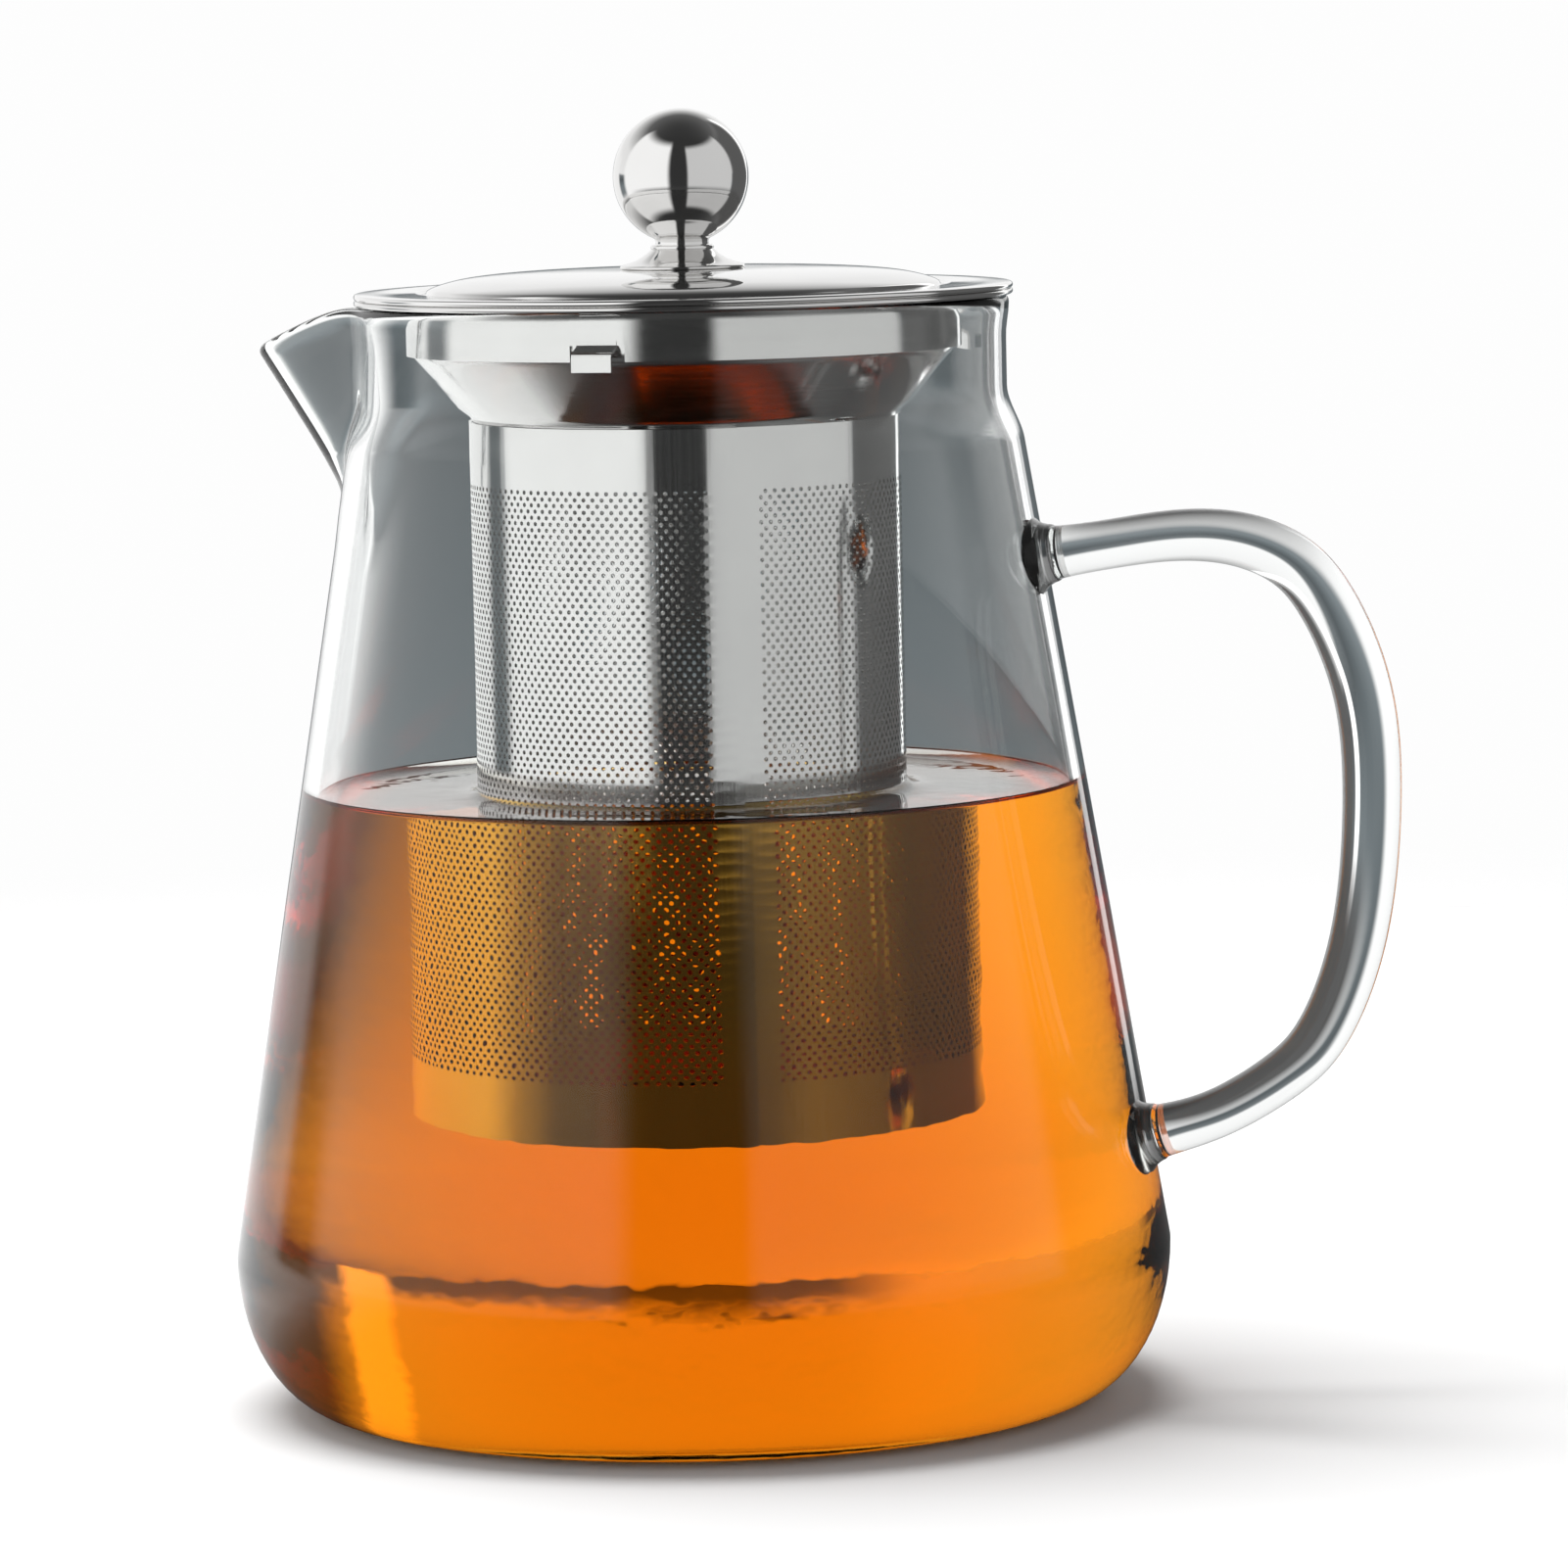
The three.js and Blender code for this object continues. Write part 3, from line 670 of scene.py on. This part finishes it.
# %% The gobs that hold the rod
def gob(name, node_name, end, ahead_point):
    """A flared collar from the wall to the rod's end; its foot follows the cone just under the surface."""
    ahead = np.array(ahead_point) - np.array(end)
    ahead /= np.linalg.norm(ahead)
    rings = []
    around = 40
    profile = [(-BOSS_LONG - 1.2, 1.42), (-BOSS_LONG + 0.2, 1.4), (-BOSS_LONG + 0.7, 1.24)]
    profile += [(-BOSS_LONG + 1.4, 1.14), (-0.8, 1.1), (-0.3, 1.07), (0.05, 1.0)]
    for along, grow in profile:
        a = (ROD_WIDE / 2 + 0.5) * grow
        b = (ROD_THICK / 2 + 0.35) * grow
        centre = np.array(end) + ahead * along
        ring = []
        for t in np.linspace(0, 2 * math.pi, around, endpoint=False):
            inward = b * math.sin(t)
            x = centre[0] - ahead[1] * inward
            z = centre[1] + ahead[0] * inward
            y = a * math.cos(t)
            wall = math.sqrt(max(cone_radius(z) ** 2 - y**2, 0)) - 0.35
            ring.append((max(x, wall), y, z))
        rings.append(ring)
    bm = grid_bmesh(rings)
    close_ends(bm, around)
    piece = mesh_piece(name, bm, "pot", sharp=60)
    use(piece, glass)
    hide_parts(node_name)
    return piece


gob("handle_gob_upper", "handle_upper_boss", path[0], path[1])
gob("handle_gob_lower", "handle_lower_boss", path[-1], path[-2])

# %% [markdown]
# ## The tea
# The pot is a little over half full. Tea is water with a dye, so it takes light away with depth: blue goes
# within a few millimetres and green within a few centimetres, which is why thin tea is yellow and deep tea
# is orange. That is a volume that absorbs, not a coloured skin. Its side overlaps the glass by a fraction
# of a millimetre, because light then bends at the wall as it does where water wets glass, with no film of
# air between. Where tea meets the wall and the sleeve it climbs a little.

# %% Tea finish
def tea_finish():
    material, tree, shader = new_material("black_tea")
    shader.inputs["Base Color"].default_value = (1, 1, 1, 1)
    shader.inputs["Roughness"].default_value = 0.0
    shader.inputs["IOR"].default_value = 1.333
    shader.inputs["Specular Tint"].default_value = HEAD_ON
    shader.inputs["Transmission Weight"].default_value = 1.0
    dye = node(tree, "ShaderNodeVolumeAbsorption")
    dye.inputs["Color"].default_value = (0.99, 0.76, 0.07, 1)
    dye.inputs["Density"].default_value = 60.0
    tree.links.new(dye.outputs[0], tree.nodes["Material Output"].inputs["Volume"])
    ripple = node(tree, "ShaderNodeTexNoise", {"Scale": 30.0, "Detail": 1.0})
    still = node(
        tree, "ShaderNodeBump", {"Height": ripple.outputs["Fac"], "Strength": 0.1, "Distance": 0.0005}
    )
    tree.links.new(still.outputs["Normal"], shader.inputs["Normal"])
    return material


# %% The body of tea
TEA_LEVEL = 80.7
CLIMB = 1.3
CLIMB_WIDTH = 1.5
WETTED = 0.3


def tea_outline():
    """From the axis on the pot's floor, up the wetted wall, and back over the surface to the axis."""
    plain = np.array([(r, z) for r, z in outline if z < TEA_LEVEL + CLIMB - 0.4])
    step = np.gradient(plain, axis=0)
    step /= np.linalg.norm(step, axis=1)[:, None]
    inward = np.stack([-step[:, 1], step[:, 0]], axis=1)
    depth = np.interp(np.arange(len(plain)), [0, 6, 22, 200], [FOOT_WALL, FOOT_WALL, WALL, WALL]) - WETTED
    wall = plain + inward * depth[:, None]
    wall[0, 0] = 0
    top_z = TEA_LEVEL + CLIMB
    top_r = cone_radius(top_z) - WALL + WETTED
    surface = []
    for r in np.concatenate([np.linspace(top_r, top_r - 6, 14), np.linspace(top_r - 8, 31.5, 6)]):
        surface.append((r, TEA_LEVEL + CLIMB * math.exp(-(top_r - r) / CLIMB_WIDTH)))
    for r in np.linspace(31, 26.5, 16):
        near = max(abs(r - SLEEVE_R + 0.25) - 0.3, 0)
        surface.append((r, TEA_LEVEL + 0.8 * CLIMB * math.exp(-near / CLIMB_WIDTH * 1.6)))
    surface += [(24, TEA_LEVEL), (12, TEA_LEVEL), (0, TEA_LEVEL)]
    return [tuple(p) for p in wall] + surface


tea = turned_piece("tea", tea_outline(), "pot", closed=False, steps=192, sharp=70)
use(tea, tea_finish())

# %% [markdown]
# ## Steel finishes
# All the steel is one alloy, and what differs is how it was finished. The knob and lid are polished to a
# mirror with the odd hair scratch. The infuser is pressed from bright sheet and then spun, so faint lines
# run round it. The sleeve's sheet carries the fine upright lines of the rolling mill.

# %% Steel recipe
def steel(name, tone, smooth, rough, line_scale, depth, colour=(1.0, 0.995, 0.985)):
    """Bright metal; line_scale stretches the noise of its lines, and smooth to rough is its range."""
    material, tree, shader = new_material(name)
    shader.inputs["Metallic"].default_value = 1.0
    spot = node(tree, "ShaderNodeTexCoord").outputs["Object"]
    parts = node(tree, "ShaderNodeSeparateXYZ", {0: spot})
    turned_by = node(
        tree, "ShaderNodeMath", {0: parts.outputs["Y"], 1: parts.outputs["X"]}, operation="ARCTAN2"
    )
    radial = node(tree, "ShaderNodeVectorMath", {0: spot, 1: (1, 1, 0)}, operation="MULTIPLY")
    radius = node(tree, "ShaderNodeVectorMath", {0: radial.outputs[0]}, operation="LENGTH")
    wound = node(
        tree,
        "ShaderNodeCombineXYZ",
        {"X": turned_by.outputs[0], "Y": radius.outputs["Value"], "Z": parts.outputs["Z"]},
    )
    drawn = node(tree, "ShaderNodeMapping", {"Vector": wound.outputs[0], "Scale": line_scale})
    lines = node(tree, "ShaderNodeTexNoise", {"Vector": drawn.outputs[0], "Scale": 1.0, "Detail": 4.0})
    cloud = node(tree, "ShaderNodeTexNoise", {"Vector": spot, "Scale": 60.0, "Detail": 2.0})
    blend = node(
        tree, "ShaderNodeMath", {0: lines.outputs["Fac"], 1: cloud.outputs["Fac"]}, operation="MULTIPLY"
    )
    spread = node(
        tree,
        "ShaderNodeMapRange",
        {"Value": blend.outputs[0], "From Min": 0.12, "From Max": 0.4, "To Min": smooth, "To Max": rough},
    )
    tree.links.new(spread.outputs[0], shader.inputs["Roughness"])
    light, dark = tone, tone * 0.93
    shade = ramp(
        tree,
        cloud.outputs["Fac"],
        [(0.3, tuple(dark * c for c in colour)), (0.7, tuple(light * c for c in colour))],
    )
    tree.links.new(shade, shader.inputs["Base Color"])
    relief = node(
        tree, "ShaderNodeBump", {"Height": lines.outputs["Fac"], "Strength": depth, "Distance": 0.00005}
    )
    tree.links.new(relief.outputs["Normal"], shader.inputs["Normal"])
    return material


polished = steel("polished_steel", 0.80, 0.03, 0.10, (2, 900, 900), 0.05)
pressed = steel("infuser_steel", 0.74, 0.06, 0.14, (3, 1500, 1500), 0.10)
rolled = steel("perforated_steel", 0.74, 0.07, 0.14, (90, 600, 14), 0.07)
fastener = steel("fastener_steel", 0.62, 0.25, 0.4, (30, 1500, 1500), 0.3)
print("four steel finishes")

# %% [markdown]
# ## The infuser's rim
# A ring is pressed from sheet: a flange that rests on the glass, its edge curled to a safe round bead, and
# an upright band below. Three small tongues are cut at the band's foot and bent out, and they keep the
# infuser centred in the neck. The bead is a real curl at the end of the sheet's middle line.

# %% Rim ring
SHEET = 0.4
HEM_TALL = 0.8
BAND_LOW_Z = SLEEVE_TOP_Z + 9.5


def rim_line():
    curl = HEM_TALL / 2 - SHEET / 2
    centre_r = HEM_R - HEM_TALL / 2
    centre_z = RIM_Z + HEM_TALL / 2
    middle = COLLAR_R - SHEET / 2
    line = bend([(middle, BAND_LOW_Z), (middle, RIM_Z + SHEET / 2), (centre_r, RIM_Z + SHEET / 2)], 0.9)
    return line[:-1] + arc(centre_r, centre_z, curl, -90, 190, 18)


rim_bm = bmesh.new()
turn(rim_bm, thicken(rim_line(), SHEET), steps=192)
rim = mesh_piece("infuser_flange", rim_bm, "infuser", sharp=40)
use(rim, pressed)


# %% [markdown]
# The tongues are made as thin bent plates, and a slot is cut through the band round each of them with a
# boolean, as a press tool would shear it.

# %% Tongues and their slots
TONGUE_WIDE = 5.2
TONGUE_TALL = 3.4
TONGUE_OUT = 2.4
TONGUE_SLOT = 1.0
TONGUE_ANGLES = [math.radians(-93.5 + 120 * i) for i in range(3)]


def box_bmesh(bm, low, high, angle):
    """A box between two corners, turned about the upright axis."""
    made = bmesh.ops.create_cube(bm, size=1)["verts"]
    size = Vector(high) - Vector(low)
    centre = (Vector(high) + Vector(low)) / 2
    bmesh.ops.scale(bm, vec=size, verts=made)
    bmesh.ops.translate(bm, vec=centre, verts=made)
    bmesh.ops.rotate(bm, verts=made, cent=(0, 0, 0), matrix=Matrix.Rotation(angle, 3, "Z"))


def cut(piece, cutter_bm):
    """Takes the cutter's volume, in millimetres, out of a piece, and bakes the result into its mesh."""
    bmesh.ops.scale(cutter_bm, vec=(MM, MM, MM), verts=cutter_bm.verts)
    mesh = bpy.data.meshes.new("cutter")
    cutter_bm.to_mesh(mesh)
    cutter_bm.free()
    cutter = bpy.data.objects.new("cutter", mesh)
    scene.collection.objects.link(cutter)
    shears = piece.modifiers.new("shears", "BOOLEAN")
    shears.operation = "DIFFERENCE"
    shears.solver = "EXACT"
    shears.object = cutter
    bpy.context.view_layer.update()
    shaped = bpy.data.meshes.new_from_object(piece.evaluated_get(bpy.context.evaluated_depsgraph_get()))
    piece.modifiers.clear()
    piece.data = shaped
    bpy.data.objects.remove(cutter)


slots = bmesh.new()
for angle in TONGUE_ANGLES:
    half = TONGUE_WIDE / 2 + TONGUE_SLOT
    top = BAND_LOW_Z + TONGUE_TALL - TONGUE_OUT / 2
    box_bmesh(slots, (COLLAR_R - 2, -half, BAND_LOW_Z - 1), (COLLAR_R + 1, half, top), angle)
cut(rim, slots)
rim.data.set_sharp_from_angle(angle=math.radians(40))


def tongue_bmesh(bm, angle):
    """A bent plate whose root lies in the band and whose end stands out towards the glass."""
    top = BAND_LOW_Z + TONGUE_TALL - TONGUE_OUT / 2
    middle = COLLAR_R - SHEET / 2
    root_point = (middle, top + 0.6)
    knee = (middle + 0.1, top - 0.2)
    elbow = (middle + TONGUE_OUT, top - 1.1)
    tip = (middle + TONGUE_OUT, top - TONGUE_TALL)
    side = thicken(bend([root_point, knee, elbow, tip], 0.7), SHEET * 0.98)
    faces = []
    for y in (-TONGUE_WIDE / 2, TONGUE_WIDE / 2):
        faces.append([bm.verts.new((r, y, z)) for r, z in side])
    for i in range(len(side)):
        j = (i + 1) % len(side)
        bm.faces.new((faces[0][i], faces[0][j], faces[1][j], faces[1][i]))
    bm.faces.new(faces[0][::-1])
    bm.faces.new(faces[1])
    both = faces[0] + faces[1]
    bmesh.ops.rotate(bm, verts=both, cent=(0, 0, 0), matrix=Matrix.Rotation(angle, 3, "Z"))


tongues_bm = bmesh.new()
for angle in TONGUE_ANGLES:
    tongue_bmesh(tongues_bm, angle)
tongues = mesh_piece("infuser_tongues", tongues_bm, "infuser", sharp=30)
use(tongues, pressed)
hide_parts("infuser_rim")

# %% [markdown]
# ## The funnel
# A cone carries the sleeve from the band. Its two ends are short spigots, and the bends between them are
# soft, because sheet can't be folded to a knife edge without cracking.

# %% Funnel
WELD_GAP = 0.05


def funnel_line():
    top = COLLAR_R - SHEET - WELD_GAP - SHEET / 2
    low = SLEEVE_R - SHEET - WELD_GAP - SHEET / 2
    return bend(
        [
            (top, BAND_LOW_Z + 3),
            (top, BAND_LOW_Z + 0.3),
            (low + 0.3, SLEEVE_TOP_Z + 0.3),
            (low, SLEEVE_TOP_Z - 3),
        ],
        1.2,
    )


funnel_outline = thicken(funnel_line(), SHEET)
funnel = turned_piece("infuser_funnel_cone", funnel_outline, "infuser", steps=192)
use(funnel, pressed)
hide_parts("infuser_funnel")

# %% [markdown]
# ## The perforated sleeve
# The strainer is flat sheet with thousands of etched holes in staggered rows, rolled into a tube and welded
# along a plain strip. It is made here in the same order: a flat pattern of six-sided holes, each joined to
# its neighbours by strips and triangles so that no face is wasted, then plain margins, then the roll, then
# the thickness. Painted dots would be cheaper, but only real holes let the light from inside through and
# show the far wall's holes behind them. The tube is rolled as two halves, to keep each mesh light.

# %% Sizes of the hole pattern
HOLE_R = 0.31
PITCH = 1.27
ROW_GAP = 0.805
PLAIN_TOP = 7.0
PLAIN_LOW = 8.0
SEAM_WIDE = 5.5
SEAM_ANGLE = math.radians(-63)
around_mm = 2 * math.pi * SLEEVE_R
rows = int((SLEEVE_TOP_Z - SLEEVE_LOW_Z - PLAIN_TOP - PLAIN_LOW) / ROW_GAP)
columns_all = int((around_mm - SEAM_WIDE) / PITCH)
print(f"{rows} rows of {columns_all} holes, {rows * columns_all} in all")


# %% Flat pattern of holes
def hole_points(rows, columns, x_start, z_start):
    """Six corners of each hole, as an array of rows x columns x 6 x 2."""
    turns = np.radians(np.arange(30, 390, 60))
    ring = np.stack([np.cos(turns), np.sin(turns)], axis=1) * HOLE_R
    x = x_start + np.arange(columns)[None, :] * PITCH + (np.arange(rows)[:, None] % 2) * PITCH / 2
    z = z_start + np.arange(rows)[:, None] * ROW_GAP + 0 * x
    return np.stack([x, z], axis=2)[:, :, None, :] + ring


def web_faces(rows, columns):
    """Strips and triangles between neighbouring holes, as lists of corner numbers."""
    def corner(i, j, k):
        return (i * columns + j) * 6 + k

    faces = []
    for i in range(rows):
        for j in range(columns):
            up_right = j + i % 2
            up_left = up_right - 1
            if j + 1 < columns:
                beside = (corner(i, j + 1, 3), corner(i, j + 1, 2))
                faces.append((corner(i, j, 5), *beside, corner(i, j, 0)))
            if i + 1 == rows:
                continue
            if up_right < columns:
                c = up_right
                faces.append((corner(i, j, 0), corner(i + 1, c, 4), corner(i + 1, c, 3), corner(i, j, 1)))
                if j + 1 < columns:
                    faces.append((corner(i, j, 0), corner(i, j + 1, 2), corner(i + 1, c, 4)))
            if up_left >= 0:
                c = up_left
                faces.append((corner(i, j, 1), corner(i + 1, c, 5), corner(i + 1, c, 4), corner(i, j, 2)))
            if up_right < columns and up_left >= 0:
                faces.append((corner(i, j, 1), corner(i + 1, up_right, 3), corner(i + 1, up_left, 5)))
    return faces


def edge_chains(rows, columns):
    """Corner numbers along the field's four sides, bottom and top left to right, sides upwards."""
    def corner(i, j, k):
        return (i * columns + j) * 6 + k

    bottom = [corner(0, j, k) for j in range(columns) for k in (3, 4, 5)]
    top = [corner(rows - 1, j, k) for j in range(columns) for k in (2, 1, 0)]
    left = [corner(0, 0, 3), corner(0, 0, 2)]
    right_chain = [corner(0, columns - 1, 5), corner(0, columns - 1, 0)]
    for i in range(1, rows):
        left += [corner(i - 1, 0, 1)] if i % 2 else [corner(i, 0, 4)]
        left += [corner(i, 0, 3), corner(i, 0, 2)]
        right_chain += [corner(i, columns - 1, 4)] if i % 2 else [corner(i - 1, columns - 1, 1)]
        right_chain += [corner(i, columns - 1, 5), corner(i, columns - 1, 0)]
    return bottom, top, left, right_chain


# %% Margins, roll and thickness
def half_sleeve(name, columns, x_start, x_low, x_high):
    """One half of the tube: holed field, plain margins out to x_low and x_high, rolled and thickened."""
    z_start = SLEEVE_LOW_Z + PLAIN_LOW + HOLE_R
    points = hole_points(rows, columns, x_start, z_start).reshape(-1, 2)
    verts = [tuple(p) for p in points]
    faces = web_faces(rows, columns)
    bottom, top, left, right_chain = edge_chains(rows, columns)

    def margin(chain, places, flip):
        previous = chain
        for place in places:
            first = len(verts)
            verts.extend(place(verts[i]) for i in chain)
            now = list(range(first, first + len(chain)))
            for a, b, c, d in zip(previous, previous[1:], now[1:], now):
                faces.append((a, b, c, d) if flip else (d, c, b, a))
            previous = now
        return previous

    margin(bottom, [lambda p: (p[0], SLEEVE_LOW_Z)], False)
    margin(top, [lambda p: (p[0], SLEEVE_TOP_Z)], True)
    left_x = verts[left[0]][0]
    right_x = max(verts[i][0] for i in right_chain)
    lefts = [left_x - (left_x - x_low) * t for t in (0.5, 1.0)]
    rights = [right_x + (x_high - right_x) * t for t in (0.5, 1.0)]
    margin(left, [lambda p, x=x: (x, p[1]) for x in lefts], True)
    margin(right_chain, [lambda p, x=x: (x, p[1]) for x in rights], False)
    corners = [(left[0], lefts, SLEEVE_LOW_Z), (left[-1], lefts, SLEEVE_TOP_Z)]
    corners += [(right_chain[0], rights, SLEEVE_LOW_Z), (right_chain[-1], rights, SLEEVE_TOP_Z)]
    for inner, xs, z in corners:
        x0, z0 = verts[inner]
        for x1, x2 in zip([x0] + xs, xs):
            first = len(verts)
            verts.extend([(x1, z0), (x2, z0), (x2, z), (x1, z)])
            faces.append((first, first + 1, first + 2, first + 3))
    bm = bmesh.new()
    made = [bm.verts.new((x, 0, z)) for x, z in verts]
    for face in faces:
        bm.faces.new([made[i] for i in face])
    bmesh.ops.remove_doubles(bm, verts=bm.verts, dist=0.001)
    bmesh.ops.recalc_face_normals(bm, faces=bm.faces)
    for v in bm.verts:
        turn_angle = SEAM_ANGLE + v.co.x / SLEEVE_R
        v.co = Vector((SLEEVE_R * math.cos(turn_angle), SLEEVE_R * math.sin(turn_angle), v.co.z))
    some = next(iter(bm.faces))
    if some.normal.dot(some.calc_center_median() * Vector((1, 1, 0))) < 0:
        bmesh.ops.reverse_faces(bm, faces=bm.faces)
    bmesh.ops.scale(bm, vec=(MM, MM, MM), verts=bm.verts)
    mesh = bpy.data.meshes.new(name)
    bm.to_mesh(mesh)
    bm.free()
    piece = bpy.data.objects.new(name, mesh)
    scene.collection.objects.link(piece)
    skin_maker = piece.modifiers.new("sheet", "SOLIDIFY")
    skin_maker.thickness = SHEET * MM
    skin_maker.offset = -1
    bpy.context.view_layer.update()
    piece.data = bpy.data.meshes.new_from_object(piece.evaluated_get(bpy.context.evaluated_depsgraph_get()))
    piece.modifiers.clear()
    piece.data.shade_smooth()
    piece.data.set_sharp_from_angle(angle=math.radians(40))
    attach(piece, "infuser")
    use(piece, rolled)
    print(f"{name}: {columns} columns, {len(piece.data.polygons)} faces")
    return piece


half_columns = columns_all // 2
halfway = around_mm / 2
first_x = SEAM_WIDE / 2 + HOLE_R
second_x = halfway + (PITCH - 2 * HOLE_R) / 2 - PITCH / 4
sleeve_front = half_sleeve("infuser_sleeve_a", half_columns, first_x, 0, halfway)
half_sleeve("infuser_sleeve_b", half_columns, second_x, halfway, around_mm)
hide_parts("infuser_sleeve")

# %% [markdown]
# ## The sleeve's floor
# A shallow dish closes the tube from below. Its lip stands up inside the sleeve, where it is spot-welded.

# %% Floor dish
floor_r = SLEEVE_R - SHEET - WELD_GAP - SHEET / 2
dish_line = bend(
    [
        (0.01, SLEEVE_LOW_Z + SHEET / 2),
        (floor_r, SLEEVE_LOW_Z + SHEET / 2),
        (floor_r, SLEEVE_LOW_Z + 4),
    ],
    0.9,
)
dish = turned_piece("infuser_dish", thicken(dish_line, SHEET), "infuser")
use(dish, pressed)
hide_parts("infuser_floor")

# %% [markdown]
# ## The lid
# One disc of sheet is pressed into a low dome with a groove round it, and its edge is curled like the
# infuser's. A ring welded underneath drops into the infuser's collar and keeps the lid from sliding off.

# %% Lid cover
LID_SHEET = 0.4
LID_HEM = 0.8
DOME_R = COLLAR_R - 2.7
FLANGE_TOP_Z = LID_LOW_Z + LID_HEM
SEAT_R = 8.6
SCREW_HOLE = 2.15


def quad(start, pull, end, steps):
    """Points after the start on a curve drawn towards one pulling point."""
    shares = np.linspace(0, 1, steps + 1)[1:]
    start, pull, end = np.array(start), np.array(pull), np.array(end)
    return [tuple(start * (1 - t) ** 2 + pull * 2 * t * (1 - t) + end * t**2) for t in shares]


def lid_line():
    """Middle line of the lid's sheet, from the screw hole out to the curled edge."""
    half = LID_SHEET / 2
    top = LID_TOP_Z - half
    flange = FLANGE_TOP_Z - half
    curl = LID_HEM / 2 - half
    centre_r = HEM_R - LID_HEM / 2
    centre_z = LID_LOW_Z + LID_HEM / 2
    dome = [(SCREW_HOLE, top), (SEAT_R, top)]
    brow = (DOME_R - 4.2, top - 1.0)
    dome += quad((SEAT_R, top), ((SEAT_R + DOME_R) / 2 + 3, top), brow, 16)
    dome += quad(brow, (DOME_R - 1.3, top - 1.6), (DOME_R - 0.3, flange + 0.3), 8)
    groove_z = flange - 0.25
    groove = bend([dome[-1], (DOME_R, groove_z), (DOME_R + 0.9, groove_z), (DOME_R + 1.5, flange)], 0.4)
    hem = arc(centre_r, centre_z, curl, 90, -190, 18)
    return dome[:-1] + groove + hem


lid = turned_piece("lid_dome", thicken(lid_line(), LID_SHEET), "lid", steps=192, sharp=45)
use(lid, polished)
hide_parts("lid_cover")

# %% Ring under the lid
SKIRT_TALL = 7.0
skirt_r = COLLAR_R - 2 * SHEET - WELD_GAP - 0.4 - SHEET / 2
under = FLANGE_TOP_Z - LID_SHEET
skirt_top = under - SHEET / 2
skirt_line = bend([(skirt_r, under - SKIRT_TALL), (skirt_r, skirt_top), (skirt_r + 3, skirt_top)], 0.5)
skirt = turned_piece("lid_ring", thicken(skirt_line, SHEET), "lid")
use(skirt, pressed)
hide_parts("lid_skirt")

# %% [markdown]
# ## The knob
# A polished ball stands on a small trumpet foot. A screw comes up through the lid and the foot into the
# ball, with a washer under its head.

# %% Foot and ball
WAIST_R = 3.6
FOOT_TALL = 3.9
BALL_R = millimetres("knob_ball")[1].x
KNOB_FOOT_R = millimetres("knob_foot")[1].x
seat_z = LID_TOP_Z + FOOT_TALL
ball_z = seat_z + math.sqrt(BALL_R**2 - WAIST_R**2)


def foot_outline():
    rim_r = KNOB_FOOT_R
    edge = arc(rim_r - 0.22, LID_TOP_Z + 0.22, 0.22, -90, 70, 6)
    low = LID_TOP_Z
    flare = quad((rim_r - 0.15, low + 0.45), (rim_r - 2.6, low + 0.9), (WAIST_R + 0.5, low + 2.5), 10)
    ring = arc(WAIST_R + 0.25, low + 2.75, 0.32, -60, 70, 6)
    throat = [(WAIST_R - 0.1, low + 3.15), (WAIST_R - 0.15, low + 3.5), (WAIST_R, seat_z)]
    return [(SCREW_HOLE, LID_TOP_Z)] + edge + flare + ring + throat + [(SCREW_HOLE, seat_z)]


foot = turned_piece("knob_trumpet", foot_outline(), "lid", steps=96)
use(foot, polished)
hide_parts("knob_foot")


def ball_outline():
    start = -math.degrees(math.acos(WAIST_R / BALL_R))
    hole = [(0, seat_z + 7), (SCREW_HOLE, seat_z + 7), (SCREW_HOLE, seat_z)]
    ball = arc(0, ball_z, BALL_R, start, 90, 48)
    return hole + ball[:-1] + [(0, ball_z + BALL_R)]


ball = turned_piece("knob_sphere", ball_outline(), "lid", closed=False, steps=128)
use(ball, polished)
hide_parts("knob_ball")

# %% Screw and washer
under_seat = LID_TOP_Z - LID_SHEET
WASHER_TALL = 0.8
head_top = under_seat - WASHER_TALL
head = [(0, head_top - 2.4), (2.2, head_top - 2.4)] + arc(2.8, head_top - 1.4, 1.0, -90, 0, 8)
head += [(3.8, head_top), (2.0, head_top)]
threads = []
for i in range(20):
    threads += [(2.0, head_top + 0.5 * i + 0.2), (1.75, head_top + 0.5 * i + 0.45)]
screw_outline = head + threads + [(1.5, seat_z + 6), (0, seat_z + 6)]
screw = turned_piece("knob_machine_screw", screw_outline, "lid", closed=False, steps=48)
cross = bmesh.new()
for angle in (0, math.pi / 2):
    box_bmesh(cross, (-2.1, -0.35, head_top - 3.2), (2.1, 0.35, head_top - 1.2), angle)
    cut(screw, cross)
    cross = bmesh.new()
use(screw, fastener)
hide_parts("knob_screw")

WASHER_HOLE = 2.2
WASHER_R = 5.0
washer_corners = [(WASHER_HOLE, head_top), (WASHER_R, head_top), (WASHER_R, under_seat)]
washer_corners += [(WASHER_HOLE, under_seat), (WASHER_HOLE, head_top)]
washer_outline = bend(washer_corners, 0.12)
washer = turned_piece("knob_plain_washer", washer_outline[:-1], "lid", steps=64)
use(washer, fastener)
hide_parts("knob_washer")
